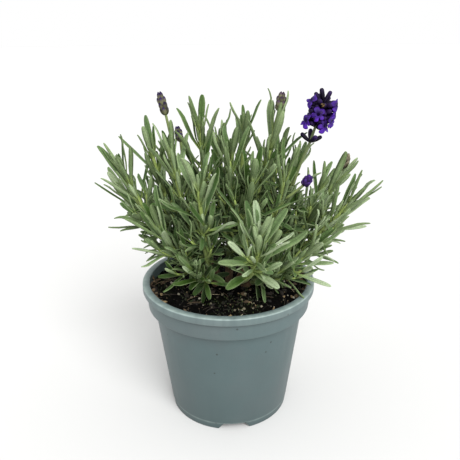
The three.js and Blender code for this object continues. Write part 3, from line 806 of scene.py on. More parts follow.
def build_crown(material):
    """Short woody branches from the root collar to each fork, knobbly where leaves once grew."""
    bows = np.stack([rising_bow(COLLAR_TOP, end, 0.5, 0.55) for end in FORKS.values()])
    rows = np.linspace(0, 1, 22)
    knots = 1 + 0.16 * noise(bow_point(bows[:, None], rows), 3.2 * MM, 21)
    outline = round_outline(mix(3.4, 2.0, rows) * MM * knots, 14, ribs=5, depth=0.07)
    rings = sweep(bows, rows, outline, sideways(bows))
    surface = tube_surface(rings, tint=0.5 + 0.5 * noise(rings, 4 * MM, 22))
    make_piece("woody_crown", surface, material, ["crown"])


def leaf_rank_length(rank):
    """Leaf length as a share of the longest: greatest a little above the stem's middle, and not yet
    fully grown at its tip."""
    grown = 0.55 + 0.45 * np.sin(np.pi * (0.12 + 0.62 * rank))
    return np.where(rank == 1, 0.82, 1) * grown


def direction(along, outward, angle, rise=0.0):
    """Unit directions at an angle from the stem, lifted by `rise`."""
    angle, rise = angle[..., None], np.asarray(rise)[..., None]
    return unit(along * np.cos(angle) + outward * np.sin(angle) + UP * rise)


def stem_side(stem, at, turn, out=0.0):
    """Places at a share of a stem's length, a turn about it and a distance from its middle, with the
    unit directions along it and outward."""
    along = bow_way(stem, at)
    outward = turned(unit(np.cross(along, UP)), along, turn)
    return bow_point(stem, at) + outward * out, along, outward


def leaf_place(shoot, rank, foliage):
    """The share of the stem below each leaf pair, from the pair's rank: 0 lowest and 1 at the tip."""
    return mix(shoot.get("first", foliage.first_leaf), 1, rank**0.9)


def light_seeking(outward):
    """How far the leaves on a stem's underside turn up to the light."""
    return 0.4 * np.maximum(0, -outward[:, 2])


def main_leaves(stem, shoot, number, foliage):
    """The crossed pairs of leaves on a stem: spreading low down, upright at the tip, the lowest
    hanging a little, and those under a leaning stem turned up to the light. Like axil_leaves and
    tip_leaves, it returns their bows, sides, half widths, ranks, seeds and how young they are."""
    pair = np.repeat(np.arange(shoot["pairs"]), 2)
    half = np.tile([0, 1], shoot["pairs"])
    rank = pair / (shoot["pairs"] - 1)
    at = leaf_place(shoot, rank, foliage)
    seed = number * 100 + pair * 2 + half
    turn = np.radians(shoot["turn"] + 90 * pair + 180 * half + 14 * sway(seed + 0.1))
    foot, along, outward = stem_side(stem, at, turn, foliage.stem_tip_radius * 0.5)
    spread = np.radians(mix(68, 20, rank**1.3) + 9 * sway(seed + 0.2))
    curl = np.radians(mix(-4, 12, scatter(seed + 0.3)) - 6 * rank)
    length = foliage.leaf_length * leaf_rank_length(rank) * shoot.get("size", 1)
    length = length * (1 + 0.14 * sway(seed + 0.4))
    hang = 0.5 * (1 - rank) ** 3
    lift = light_seeking(outward)
    first = direction(along, outward, spread, lift)
    second = direction(along, outward, spread + curl, 0.1 * rank - hang + lift)
    side = turned(np.cross(along, outward), first, np.radians(18 * sway(seed + 0.5)))
    width = foliage.leaf_half_width * shoot.get("broad", 1) * mix(0.9, 1.12, scatter(seed + 0.6))
    bow = two_part_bow(foot, first, second, length)
    return dict(bow=bow, side=side, width=width, rank=rank, seed=seed + 0.0, young=0 * rank)


def axil_leaves(stem, shoot, number, foliage):
    """Small leaves of the undeveloped side shoots that sit in the angle above each leaf."""
    count, pairs = foliage.axil_leaves, shoot["pairs"] - 1
    pair = np.repeat(np.arange(pairs), 2 * count)
    half = np.tile(np.repeat([0, 1], count), pairs)
    which = np.tile(np.arange(count), 2 * pairs)
    rank = pair / pairs
    seed = number * 1000 + pair * 40 + half * 20 + which + 0.5
    at = np.clip(leaf_place(shoot, rank, foliage) + 0.02 + 0.015 * which, 0, 1)
    turn = np.radians(shoot["turn"] + 90 * pair + 180 * half + 55 * sway(seed + 0.1))
    foot, along, outward = stem_side(stem, at, turn, foliage.stem_tip_radius * 0.8)
    spread = np.radians(mix(44, 14, rank) + 16 * sway(seed + 0.2))
    bend = np.radians(16 * sway(seed + 0.3) - 10)
    length = mix(0.26, 0.56, scatter(seed + 0.4)) + 0.16 * rank
    length = foliage.leaf_length * length * shoot.get("size", 1)
    lift = 0.1 + light_seeking(outward)
    first = direction(along, outward, spread, lift)
    second = direction(along, outward, spread + bend, lift)
    side = turned(np.cross(along, outward), first, np.radians(40 * sway(seed + 0.5)))
    width = foliage.leaf_half_width * mix(0.55, 0.85, scatter(seed + 0.6)) * shoot.get("broad", 1)
    bow = two_part_bow(foot, first, second, length)
    return dict(bow=bow, side=side, width=width, rank=mix(rank, 1, 0.5), seed=seed, young=0 * rank)


def tip_leaves(stem, number, foliage, count=8):
    """The youngest leaves, folded up round the growing point at the stem's tip."""
    index = np.arange(count)
    inner = index / (count - 1)
    seed = number * 50 + index + 0.25
    turn = index * 2.4 + number
    foot, along, outward = stem_side(stem, np.ones(count), turn, foliage.stem_tip_radius * 0.5)
    foot = foot - along * 2 * MM
    length = foliage.leaf_length * mix(0.66, 0.2, inner) * (1 + 0.15 * sway(seed))
    spread = np.radians(mix(24, 4, inner))
    first, second = direction(along, outward, spread), direction(along, outward, spread * 0.6)
    width = foliage.leaf_half_width * mix(0.68, 0.36, inner)
    bow = two_part_bow(foot, first, second, length)
    side = np.cross(along, outward)
    return dict(bow=bow, side=side, width=width, rank=np.ones(count), seed=seed, young=np.ones(count))


# A leaf's section, from its right margin over the top to its left margin and back along the keel
# underneath: the place across as a share of the half width, and the height as a share of the half
# thickness.
LEAF_ACROSS = np.array([1.0, 0.5, 0.0, -0.5, -1.0, 0.0])
LEAF_HEIGHT = np.array([-0.3, 1.0, 0.1, 1.0, -0.3, -1.3])
LEAF_UNDER = np.array([0.0, 0.0, 0.0, 0.0, 0.0, 1.0])
# The bush as an ellipsoid: its middle at its foot, and its reach across, deep and high.
BUSH_MIDDLE = np.array([0, 0, 100]) * MM
BUSH_REACH = np.array([98, 76, 138]) * MM
# Above this height leaves get the least painted light, and below the second the most.
HIGH_LEAVES_ABOVE, LOW_LEAVES_BELOW = 210 * MM, 140 * MM
LEAF_ROWS = np.array([0.0, 0.12, 0.32, 0.56, 0.78, 0.91, 0.975, 1.0])


def leaf_outline(share):
    """Half the leaf's width at a share of its length: narrow at the foot, widest past the middle, and
    round at the tip."""
    swelling = np.sin(np.minimum(share / 0.72, 1) * np.pi / 2)
    return (0.26 + 0.74 * swelling) * (1 - (share * 0.985) ** 7) ** 0.55


def leaf_surfaces(leaves, foliage):
    """Leaves as thin closed blades with a groove above the midrib, halves that lift into a shallow
    trough, and a slow bend of their own. Their tint carries painted shade and painted light: leaves
    deep in the bush are painted dark green, and leaves towards its outside are painted lighter, most
    at its front and least at its top."""
    share, young = LEAF_ROWS, leaves["young"][:, None, None]
    outline = leaf_outline(share)
    seed = leaves["seed"][:, None, None]
    across = leaves["width"][:, None, None] * outline[:, None] * LEAF_ACROSS
    thickness = foliage.leaf_half_thickness * (0.45 + 0.55 * outline)[:, None] * LEAF_HEIGHT
    trough = np.abs(across) * mix(-0.05, 0.5, scatter(seed + 0.71))
    length = np.linalg.norm(leaves["bow"][:, 2] - leaves["bow"][:, 0], axis=-1)[:, None, None]
    bend = length * 0.07 * sway(seed + 0.72) * (np.sin(2 * np.pi * share) * share)[:, None]
    section = np.stack([across, thickness + trough + bend], axis=-1)
    rings = sweep(leaves["bow"], share, section, leaves["side"])
    # Painted shade and light in the tint: darker deep in the bush, lighter towards its outside, most at
    # the front and least at the top.
    depth = np.linalg.norm((rings - BUSH_MIDDLE) / BUSH_REACH, axis=-1)
    painted_exposure = np.clip((depth - 0.3) / 0.6, 0, 1)
    grown = np.clip((HIGH_LEAVES_ABOVE - rings[..., 2]) / (HIGH_LEAVES_ABOVE - LOW_LEAVES_BELOW), 0, 1)
    painted_front_light = np.clip(-rings[..., 1] / BUSH_REACH[1], 0, 1)
    own = 0.36 * sway(leaves["seed"] + 0.73) + 0.1 * (leaves["rank"] - 0.6)
    tint = 0.05 + painted_exposure * (0.48 + 0.2 * grown + 0.32 * painted_front_light) + own[:, None, None]
    along, tint = share[:, None] * (1 - 0.45 * young), np.clip(tint, 0, 1)
    return tube_surface(rings, across=LEAF_ACROSS, along=along, under=LEAF_UNDER, tint=tint)


def stem_surface(bow, low, high, tint_low, tint_high, rows=20):
    """A square-ribbed stem that thins from a radius low down to one at its tip, with its tint."""
    share = np.linspace(0, 1, rows)
    radii = mix(low, high, share)[None]
    rings = sweep(bow[None], share, round_outline(radii, 12, 4, 0.12), sideways(bow[None]))
    return tube_surface(rings, tint=mix(tint_low, tint_high, share)[:, None])


def side_twigs(stem, shoot, number, foliage):
    """Short side shoots from the lower leaf axils: longest at the foot of the stem, two at a node, each
    with three pairs of small leaves. Returns their stems and their own leaf rules."""
    twigs = []
    for pair in range(1, shoot["pairs"] - 3):
        rank = pair / (shoot["pairs"] - 1)
        at = np.array(leaf_place(shoot, rank, foliage) + 0.03)
        for half in (0, 1):
            seed = number * 70 + pair * 4 + half + 0.3
            turn = np.radians(np.array(shoot["turn"] + 90 * pair + 180 * half + 25 * sway(seed)))
            root, along, outward = stem_side(stem, at, turn)
            reach = foliage.twig_length * mix(1.0, 0.45, rank) * mix(0.6, 1.1, scatter(seed + 0.4))
            first = direction(along, outward, np.radians(58 + 14 * sway(seed + 0.2)))
            bend = root + first * reach * 0.5
            tip = bend + unit(first * 0.6 + along * 0.6 + UP * 0.35) * reach * 0.5
            size, broad = mix(0.48, 0.66, scatter(seed + 0.6)), 0.66 * shoot.get("broad", 1)
            rule = dict(pairs=3, turn=360 * scatter(seed + 0.5), size=size, broad=broad)
            twigs.append((np.stack([root, bend, tip]), rule))
    return twigs


def build_shoot(name, number, foliage, leaf_material, stem_material):
    """One leafy shoot: its stem with its side twigs, and all its leaves as one piece."""
    shoot = SHOOTS[name]
    stem = rising_bow(FORKS[shoot["fork"]], shoot["tip"], *shoot.get("bow", ()))
    groups = [
        main_leaves(stem, shoot, number, foliage),
        axil_leaves(stem, shoot, number, foliage),
        tip_leaves(stem, number, foliage),
    ]
    radius = foliage.stem_tip_radius
    stems = [stem_surface(stem, foliage.stem_foot_radius, radius, 0.1, 0.9)]
    for spot, (twig, rule) in enumerate(side_twigs(stem, shoot, number, foliage)):
        groups.append(main_leaves(twig, rule, number * 30 + spot + 700, foliage))
        stems.append(stem_surface(twig, radius * 0.9, radius * 0.5, 0.4, 0.9, rows=6))
    leaves = {key: np.concatenate([group[key] for group in groups]) for key in groups[0]}
    make_piece(f"{name}_leaves", leaf_surfaces(leaves, foliage), leaf_material, [f"shoot_{name}"])
    make_piece(f"{name}_stem", joined(stems), stem_material)


# ------------------------------------------------------------------ flowers and buds


def spike_place(at, facing):
    """Places on the open spike's axis, with the unit directions along it and outward."""
    base, tip = metres(FLOWER["base"]), metres(FLOWER["tip"])
    along = unit(tip - base)
    outward = unit(np.array([1.0, 0, 0]) - along * along[0])
    place = base + (tip - base) * np.asarray(at)[..., None]
    along = np.broadcast_to(along, place.shape)
    return place, along, turned(np.broadcast_to(outward, place.shape), along, np.radians(facing))


# A calyx's radii along its length, as shares of its widest: an open one's, rounded off at its mouth,
# and a bud scale's, which ends in a point.
CALYX_ROWS = np.array([0.0, 0.1, 0.25, 0.45, 0.66, 0.84, 0.94, 1.0])
CALYX_ROUND = np.array([0.3, 0.52, 0.76, 0.95, 1.0, 0.95, 0.78, 0.42])
CALYX_POINTED = np.array([0.3, 0.6, 0.88, 1.0, 0.88, 0.6, 0.36, 0.14])


def calyx_surfaces(bows, radius, seeds, ribs=9, pointed=0.0):
    """Calyces as slim ribbed tubes, narrow at the foot and widest past the middle. `pointed` is how
    far they are on the way from round to pointed."""
    radii = radius[:, None] * mix(CALYX_ROUND, CALYX_POINTED, pointed)
    rings = sweep(bows, CALYX_ROWS, round_outline(radii, 2 * ribs, ribs, 0.1), sideways(bows))
    return tube_surface(rings, along=CALYX_ROWS[:, None], tint=scatter(seeds)[:, None, None])


def build_flower_spike(flower, calyx_material, stem_material):
    """The open spike's calyces, whorl by whorl, round a felted core."""
    surfaces = []
    for number, whorl in enumerate(WHORLS):
        index = np.arange(whorl["calyces"])
        facing = 360 * index / whorl["calyces"] + whorl["turn"] + 8 * sway(number * 10 + index)
        place, along, outward = spike_place(whorl["at"] + 0.03 * sway(number * 9 + index * 2.1), facing)
        tilt = np.radians(whorl["tilt"] + 13 * sway(number * 7 + index * 3.3))
        pointing, inward = direction(along, outward, tilt), direction(along, outward, tilt - 0.35)
        length = (whorl["length"] * MM * (1 + 0.1 * sway(number * 5 + index)))[:, None]
        bend = place + (pointing * 1.2 - inward * 0.2) * length * 0.5
        bows = np.stack([place, bend, place + pointing * length], axis=1)
        radius = flower.calyx_radius * (1 + 0.08 * sway(number * 3 + index))
        surfaces.append(calyx_surfaces(bows, radius, number * 17 + index))
    make_piece("spike_calyces", joined(surfaces), calyx_material, ["flower_spike"])
    base, tip = metres(FLOWER["base"]), metres(FLOWER["tip"])
    core = stem_surface(straight_bow(base, mix(base, tip, 0.7)), 0.9 * MM, 0.7 * MM, 0.0, 0.0, rows=8)
    make_piece("spike_core", core, stem_material)


# The five round lobes of a corolla: the way each leans round the mouth in degrees from across, and
# its centre's distance from the mouth and its radius, in shares of an upper lobe's radius. The first
# two are the upper lip.
LOBES = [(58, 1.42, 1.0), (122, 1.42, 1.0), (204, 1.5, 0.74), (270, 1.6, 0.78), (336, 1.5, 0.74)]


def lobe_reach(turn, radius):
    """How far the corolla's edge reaches at each angle: to the far side of the farthest of five
    discs, which is d cos(a) + sqrt(r^2 - d^2 sin(a)^2) for a disc of radius r at distance d."""
    reach = np.full(turn.shape, 0.75 * radius)
    for lean, distance, size in LOBES:
        off = (turn - np.radians(lean) + np.pi) % (2 * np.pi) - np.pi
        under = size**2 - (distance * np.sin(off)) ** 2
        far = distance * np.cos(off) + np.sqrt(np.maximum(under, 0))
        reach = np.maximum(reach, np.where((under > 0) & (np.cos(off) > 0), far, 0) * radius)
    return reach


# The radius of a corolla's tube at its mouth.
MOUTH_RADIUS = 1.2 * MM


def corolla_surface(place, along, outward, roll, seed, flower):
    """One open corolla: a tube that widens to a mouth and flares into five ruffled lobes, as rings
    round its axis, closed over by a second layer just inside."""
    pointing = direction(along, outward, np.radians(74 + 8 * sway(seed)))
    across = unit(np.cross(along, outward))
    above = np.cross(across, pointing)
    above = above * np.sign(np.sum(above * along))
    turn = circle(45)
    ring = across * np.cos(turn + roll)[:, None] + above * np.sin(turn + roll)[:, None]
    mouth, throat = flower.corolla_mouth, flower.corolla_throat
    reach = lobe_reach(turn, flower.lobe_radius)[:, None]
    upper = np.clip(np.sin(turn), 0, 1)[:, None]
    swing = np.sin(2 * turn + 7 * scatter(seed + 0.1)) + 0.6 * np.sin(3 * turn + 7 * scatter(seed + 0.2))
    fold = flower.lobe_fold * (1 + 0.7 * sway(seed + 0.3) + 0.8 * swing)[:, None]
    ruffle = 0.12 * flower.lobe_radius * np.sin(8 * turn + 9 * scatter(seed))[:, None]
    # The tube: each ring's distance, its radius and its share of the way along. Then the lobes.
    tube = [(throat, 0.75, 0.0), (mix(throat, mouth, 0.6), 0.95, 0.25), (mouth, MOUTH_RADIUS / MM, 0.45)]
    rows = [(place + pointing * distance + ring * radius * MM, share) for distance, radius, share in tube]
    for share in (0.3, 0.55, 0.8, 1.0):
        out = ring * mix(MOUTH_RADIUS, reach, share)
        back = pointing * (fold * share**2 * reach * (1 - 0.5 * upper) - ruffle * share**2)
        forward = pointing * (mouth + 0.35 * MM * math.sin(3 * share))
        rows.append((place + forward - back + out, 0.45 + 0.55 * share))
    layer = pointing * 0.3 * MM + ring * 0.12 * MM
    rows = [(points - layer, share) for points, share in rows] + rows[::-1]
    rings = np.stack([points for points, _ in rows])[None]
    along_petal = np.array([share for _, share in rows])[:, None]
    # Painted light: the lower lobes are lighter, with a random tone for each corolla on top.
    lit = 0.05 + 0.8 * np.clip(0.15 - np.sin(turn), 0, 1) + 0.2 * scatter(seed)
    return tube_surface(rings, along=along_petal, tint=lit)


def build_open_flowers(flower, material):
    """The open corollas, one piece each."""
    for number, corolla in enumerate(COROLLAS, start=1):
        place, along, outward = spike_place(np.array(corolla["at"]), np.array(corolla["facing"]))
        place = place + outward * (corolla.get("reach", 1) - 1) * flower.corolla_mouth
        roll = math.radians(corolla["roll"])
        surface = corolla_surface(place, along, outward, roll, number * 2.9, flower)
        make_piece(f"corolla_{number}", surface, material, [f"open_flower_{number}"])


def build_withered_corolla(material):
    """A corolla that is over: crumpled and shrunk into a few dry folds at the mouth of its calyx."""
    index = np.arange(4)
    place, _, outward = spike_place(0.7 + 0.02 * sway(index + 0.7), -96 + 14 * sway(index + 0.2))
    size = mix(2.2, 3.4, scatter(index + 0.4)) * MM
    rings = lumps_on(place + outward * 8.2 * MM, index + 60, size, size * 0.55, size * 0.4)
    make_piece("withered_corolla", tube_surface(rings, tint=lump_tint(index)), material)


# A bare stalk's radius at its foot and at its tip.
STALK_FOOT, STALK_TIP = 1.0 * MM, 0.85 * MM
# The whorls of a closed bud: how far up it each stands and its number of calyces. Then, as shares of
# the bud's length, how long they are, and as shares of its radius, how far they bulge out, how far out
# their tips stand in shares of the bulge, and how thick they are.
BUD_WHORLS = [
    dict(at=0.0, calyces=4, length=0.36, bulge=0.4, tip=1.25, thick=0.46),
    dict(at=0.2, calyces=4, length=0.36, bulge=0.46, tip=1.25, thick=0.5),
    dict(at=0.41, calyces=4, length=0.36, bulge=0.42, tip=1.25, thick=0.47),
    dict(at=0.6, calyces=4, length=0.36, bulge=0.28, tip=0.8, thick=0.4),
    dict(at=0.72, calyces=2, length=0.28, bulge=0.1, tip=0.8, thick=0.24),
]


def build_stalks(stem_material):
    """The flower stalk and the bud stalks: thin, square and bare."""
    bow = np.stack([metres(FLOWER[place]) for place in ("start", "bend", "base")])
    stalk = stem_surface(bow, STALK_FOOT, STALK_TIP, 0.2, 0.0)
    make_piece("bare_flower_stalk", stalk, stem_material, ["flower_stalk"])
    for name, bud in BUDS.items():
        bow = straight_bow(metres(bud["start"]), metres(bud["base"]))
        stalk = stem_surface(bow, STALK_FOOT, STALK_TIP, 0.3, 0.2, rows=6)
        make_piece(f"{name}_bud_stalk", stalk, stem_material, [f"bud_{name}_stalk"])


def build_buds(materials):
    """Closed bud spikes: short calyces in crossed whorls, pressed against the axis like scales."""
    for number, (name, bud) in enumerate(BUDS.items()):
        base, tip, width = metres(bud["base"]), metres(bud["tip"]), bud["radius"] * MM
        axis, along = tip - base, unit(tip - base)
        across = sideways(np.stack([base, base, tip])[None])
        surfaces = []
        for row, whorl in enumerate(BUD_WHORLS):
            count = whorl["calyces"]
            index = np.arange(count)
            side, way = np.broadcast_to(across, (count, 3)), np.broadcast_to(along, (count, 3))
            outward = turned(side, way, 2 * np.pi * index / count + np.pi / 4 * row)
            foot = base + axis * whorl["at"] + outward * 0.15 * width
            bulge = outward * width * whorl["bulge"]
            bend, end = foot + axis * 0.16 + bulge, foot + axis * whorl["length"] + bulge * whorl["tip"]
            radius = np.full(count, width * whorl["thick"])
            seeds = number * 31 + row * 7 + index
            bows = np.stack([foot, bend, end], axis=1)
            surfaces.append(calyx_surfaces(bows, radius, seeds, ribs=6, pointed=0.6))
        make_piece(f"{name}_bud_spike", joined(surfaces), materials[name], [f"bud_{name}"])


# ------------------------------------------------------------------ settings


def length(name, description, default):
    """A length setting, its default given in millimetres."""
    return FloatProperty(name=name, description=description, default=default * MM, min=0, unit="LENGTH")


def tone(name, description, default):
    """A colour setting, its default given as a hex value."""
    return FloatVectorProperty(
        name=name, description=description, default=linear(default)[:3], min=0, max=1, subtype="COLOR"
    )


def angle(name, description, default):
    """An angle setting, its default given in degrees."""
    return FloatProperty(
        name=name, description=description, default=math.radians(default), subtype="ANGLE"
    )


def fraction(name, description, default):
    """A setting that is a share of something."""
    return FloatProperty(name=name, description=description, default=default, min=0)


def whole_number(name, description, default, least):
    """A whole number setting."""
    return IntProperty(name=name, description=description, default=default, min=least, max=12)


POT_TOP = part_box("pot")[1]


class PotSettings(bpy.types.PropertyGroup):
    """Sizes and colours of the pot and the compost in it."""

    height: length("Height", "From the ground to the rim", POT_TOP.z / MM)
    rim_radius: length("Rim radius", "Outside of the rolled lip", POT_TOP.x / MM)
    rim_inner_radius: length("Rim inner radius", "Opening inside the lip", 59.7)
    lip_height: length("Lip height", "Height of the rolled lip", 5.8)
    collar_height: length("Collar height", "From the rim to the step under the collar", 19)
    collar_radius: length("Collar radius", "Outside of the collar at its foot", 61.4)
    wall_top_radius: length("Wall top radius", "Outside of the wall just under the collar", 56.9)
    foot_radius: length("Foot radius", "Outside of the foot ring", 46)
    wall: length("Wall", "Thickness of the plastic", 1.5)
    floor_height: length("Floor height", "Underside of the floor above the ground", 5.2)
    notches: whole_number("Notches", "Gaps in the foot ring", 4, 1)
    notch_turn: angle("Notch turn", "The first notch's turn about the axis, from the right", -85.5)
    notch_width: length("Notch width", "Width of a notch at the ground", 24)
    notch_height: length("Notch height", "Height of a notch", 4.8)
    drain_radius: length("Drain radius", "Radius of a drain hole", 4.5)
    drain_ring: length("Drain ring", "Distance of the outer drain holes from the axis", 36)
    compost_edge: length("Compost edge", "Height of the compost at the wall", 97.5)
    compost_middle: length("Compost middle", "Height of the compost at the plant", 101.5)
    pot_dark: tone("Pot dark", "Plastic where the pigment is dense", 0x435455)
    pot_light: tone("Pot light", "Plastic where the pigment is thin", 0x4F6163)


class FoliageSettings(bpy.types.PropertyGroup):
    """Sizes and colours of the leaves and stems."""

    leaf_length: length("Leaf length", "Length of the longest leaves", 37)
    leaf_half_width: length("Leaf half width", "Half the width of a leaf", 2.5)
    leaf_half_thickness: length("Leaf half thickness", "Half the thickness of a leaf", 0.5)
    twig_length: length("Twig length", "Length of the longest side twigs", 24)
    first_leaf: fraction("First leaf", "Share of the stem below its lowest leaves", 0.14)
    axil_leaves: whole_number("Side leaves", "Small leaves in the angle above each leaf", 2, 0)
    stem_foot_radius: length("Stem foot radius", "Stem radius where it leaves the wood", 1.9)
    stem_tip_radius: length("Stem tip radius", "Stem radius at its tip", 1.2)
    stem_green: tone("Stem green", "Young stems and the feet of leaves", 0x92A654)
    leaf_bloom: tone("Leaf bloom", "Felt on the margins and undersides of leaves", 0x9DAC80)


class FlowerSettings(bpy.types.PropertyGroup):
    """Sizes and colours of the flower spike."""

    calyx_radius: length("Calyx radius", "Radius of a calyx at its widest", 1.5)
    corolla_mouth: length("Corolla mouth", "Distance of a corolla's mouth from the axis", 9.2)
    corolla_throat: length("Corolla throat", "Distance from the axis to a corolla's foot", 4.6)
    lobe_radius: length("Lobe radius", "Radius of a corolla's upper lobes", 2.2)
    lobe_fold: fraction("Lobe fold", "How far the lobes fold back, as a share of their reach", 0.3)


class StageSettings(bpy.types.PropertyGroup):
    """Camera and light."""

    distance: length("Camera distance", "From the camera to what it looks at", 389.8)
    aim_height: length("Aim height", "Height of the point that the camera looks at", 143)
    elevation: angle("Elevation", "How far the camera looks down", 20.55)
    roll: angle("Roll", "How far the camera is tipped to one side", -0.4)
    focal_length: FloatProperty(
        name="Focal length", description="On a 36 mm sensor", default=41.2, unit="CAMERA"
    )


# ------------------------------------------------------------------ operators


class LAVENDER_OT_pot(bpy.types.Operator):
    """Build the nursery pot"""

    bl_idname = "lavender.pot"
    bl_label = "Pot"

    def execute(self, context):
        settings = context.scene.lavender_pot
        build_pot(settings, moulded_polypropylene(settings))
        return {"FINISHED"}


class LAVENDER_OT_compost(bpy.types.Operator):
    """Fill the pot with compost, and strew bark, grains, fibres and moss on it"""

    bl_idname = "lavender.compost"
    bl_label = "Compost"

    def execute(self, context):
        pot = context.scene.lavender_pot
        build_compost(pot, peat_compost())
        bark = [(0.0, 0x0C0906), (0.5, 0x2A2015), (0.8, 0x5E4C34), (1.0, 0x9A8460)]
        grit = [(0.0, 0x3E392C), (0.6, 0x7D7660), (1.0, 0xA8A290)]
        fibre = [(0.0, 0x120D08), (0.5, 0x33281B), (0.8, 0x6C5B43), (1.0, 0xC4B798)]
        moss = [(0.0, 0x141C08), (0.7, 0x26300F), (1.0, 0x4A5622)]
        build_bark(pot, tinted_matter("Composted bark chips", 1.4, 0.85, 0.3, *bark))
        build_grains(pot, tinted_matter("Pale grit", 0.6, 0.8, 0.1, *grit))
        build_fibres(pot, tinted_matter("Coir and root fibre", 1.0, 0.8, 0.05, *fibre))
        build_moss(pot, tinted_matter("Cushion moss", 1.0, 0.85, 0.1, *moss))
        return {"FINISHED"}


class LAVENDER_OT_crown(bpy.types.Operator):
    """Build the short woody branches that the shoots grow from"""

    bl_idname = "lavender.crown"
    bl_label = "Woody crown"

    def execute(self, context):
        bark = [(0.0, 0x3A2C1E), (0.6, 0x6A553C), (1.0, 0x93805F)]
        build_crown(tinted_matter("Young lavender bark", 1.2, 0.85, 0.25, *bark))
        return {"FINISHED"}


class LAVENDER_OT_shoots(bpy.types.Operator):
    """Build every leafy shoot"""

    bl_idname = "lavender.shoots"
    bl_label = "Leafy shoots"

    def execute(self, context):
        foliage = context.scene.lavender_foliage
        leaf, stem = felted_leaf(foliage), felted_stem(foliage)
        for number, name in enumerate(SHOOTS):
            build_shoot(name, number, foliage, leaf, stem)
        return {"FINISHED"}


class LAVENDER_OT_flowers(bpy.types.Operator):
    """Build the open flower spike, the closed bud spikes and their stalks"""

    bl_idname = "lavender.flowers"
    bl_label = "Flowers and buds"

    def execute(self, context):
        flower = context.scene.lavender_flower
        stem = bpy.data.materials["Felted green stem"]
        calyx = downy_violet("Downy violet calyx", 0x140A20, 0x120522, 0x1E0C38, 0.6, 0.06)
        petal = downy_violet("Violet corolla", 0x170638, 0x280D58, 0x431D86, 0.6, 0.05)
        withered = tinted_matter("Withered corolla", 0.8, 0.8, 0.1, (0.0, 0x30240F), (1.0, 0x75592A))
        build_stalks(stem)
        build_flower_spike(flower, calyx, stem)
        build_open_flowers(flower, petal)
        build_withered_corolla(withered)
        green = downy_violet("Downy green bud", 0x606644, 0x5C5A46, 0x3A2C3C, 0.75, 0.05)
        grey = downy_violet("Downy grey-violet bud", 0x606542, 0x545240, 0x20123A, 0.75, 0.05)
        violet = downy_violet("Downy violet bud", 0x3A2C48, 0x2C1848, 0x32185A, 0.65, 0.15)
        tan = downy_violet("Downy tan bud", 0x4C5038, 0x5A5444, 0x6E6656, 0.75, 0.2)
        bud = dict(left_tall=grey, left_short=grey, right_tall=green, right_side=tan, inner_right=violet)
        build_buds(bud)
        return {"FINISHED"}


class LAVENDER_OT_stage(bpy.types.Operator):
    """Set the pale floor, the soft studio light and the camera"""

    bl_idname = "lavender.stage"
    bl_label = "Stage"

    def execute(self, context):
        settings, scene = context.scene.lavender_stage, context.scene
        build_floor()
        build_lights(scene)
        place_camera(scene, settings)
        return {"FINISHED"}


# ------------------------------------------------------------------ stage


# The floor's rings in metres, and the sun's strength, its breadth in degrees and the way it shines.
FLOOR_REACHES = (0.4, 2.0, 12.0)
SUN_STRENGTH, SUN_BREADTH = 3.2, 40
SUN_WAY = (-0.3, 0.75, -0.72)
# How far right of the axis the camera aims, and its way from there, to the left per metre.
AIM_RIGHT, CAMERA_LEFT = 1.5 * MM, 0.004


def build_floor():
    """A wide disc of studio paper under the pot."""
    count = 96
    rim = round_axis(1, circle(count), 0)
    vertices = np.concatenate([rim * reach for reach in FLOOR_REACHES])
    ring = np.arange(count)
    after = (ring + 1) % count
    bands = [
        np.stack([row + ring, row + count + ring, row + count + after, row + after], axis=-1)
        for row in (0, count)
    ]
    floor = new_object("floor", vertices, [ring[None], *bands])
    floor.data.materials.append(studio_paper())


def build_lights(scene):
    """A white room, and one broad soft sun from the front, high and to the right."""
    world = bpy.data.worlds.new("White room")
    world.use_nodes = True
    background = world.node_tree.nodes["Background"]
    background.inputs["Color"].default_value = (1, 1, 1, 1)
    background.inputs["Strength"].default_value = 1.0
    scene.world = world
    scene.view_settings.view_transform = "Standard"
    sun = bpy.data.lights.new("Soft sun", "SUN")
    sun.energy, sun.angle = SUN_STRENGTH, math.radians(SUN_BREADTH)
    light = bpy.data.objects.new("Soft sun", sun)
    scene.collection.objects.link(light)
    light.rotation_euler = Vector(SUN_WAY).to_track_quat("-Z", "Y").to_euler()


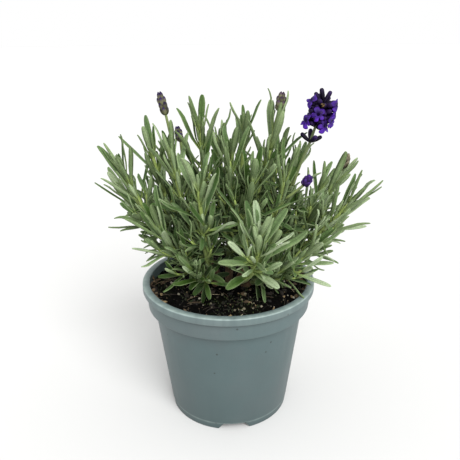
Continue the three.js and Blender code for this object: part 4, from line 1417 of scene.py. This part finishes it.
def place_camera(scene, settings):
    """A camera in front, looking down a little at the middle of the plant."""
    data = bpy.data.cameras.new("Camera")
    data.lens = settings.focal_length
    data.clip_start = 0.01
    camera = bpy.data.objects.new("Camera", data)
    scene.collection.objects.link(camera)
    back, rise = math.cos(settings.elevation), math.sin(settings.elevation)
    aim = Vector((AIM_RIGHT, 0, settings.aim_height))
    place = aim + Vector((-CAMERA_LEFT, -back, rise)) * settings.distance
    turn = (aim - place).to_track_quat("-Z", "Y").to_matrix().to_4x4()
    camera.matrix_world = Matrix.Translation(place) @ turn @ Matrix.Rotation(settings.roll, 4, "Z")
    scene.camera = camera


class LAVENDER_PT_panel(bpy.types.Panel):
    """Lists the operators and their settings"""

    bl_label = "Potted lavender"
    bl_idname = "LAVENDER_PT_panel"
    bl_space_type = "VIEW_3D"
    bl_region_type = "UI"
    bl_category = "Lavender"

    def draw(self, context):
        for operator in OPERATORS:
            self.layout.operator(operator.bl_idname)
        for group in GROUPS:
            settings = getattr(context.scene, group)
            column = self.layout.column(align=True)
            for name in settings.bl_rna.properties.keys():
                if name not in ("rna_type", "name"):
                    column.prop(settings, name)


GROUPS = {
    "lavender_pot": PotSettings,
    "lavender_foliage": FoliageSettings,
    "lavender_flower": FlowerSettings,
    "lavender_stage": StageSettings,
}
OPERATORS = (
    LAVENDER_OT_pot,
    LAVENDER_OT_compost,
    LAVENDER_OT_crown,
    LAVENDER_OT_shoots,
    LAVENDER_OT_flowers,
    LAVENDER_OT_stage,
)
CLASSES = (*GROUPS.values(), *OPERATORS, LAVENDER_PT_panel)


def register():
    """Registers the classes and hangs the settings on the scene."""
    for made in CLASSES:
        bpy.utils.register_class(made)
    for name, group in GROUPS.items():
        setattr(bpy.types.Scene, name, PointerProperty(type=group))


def unregister():
    """Takes the settings and the classes away again."""
    for name in GROUPS:
        delattr(bpy.types.Scene, name)
    for made in reversed(CLASSES):
        bpy.utils.unregister_class(made)


def main():
    """Builds every piece in order."""
    register()
    bpy.ops.lavender.pot()
    bpy.ops.lavender.compost()
    bpy.ops.lavender.crown()
    bpy.ops.lavender.shoots()
    bpy.ops.lavender.flowers()
    bpy.ops.lavender.stage()
    bpy.context.view_layer.update()


if __name__ == "__main__":
    main()
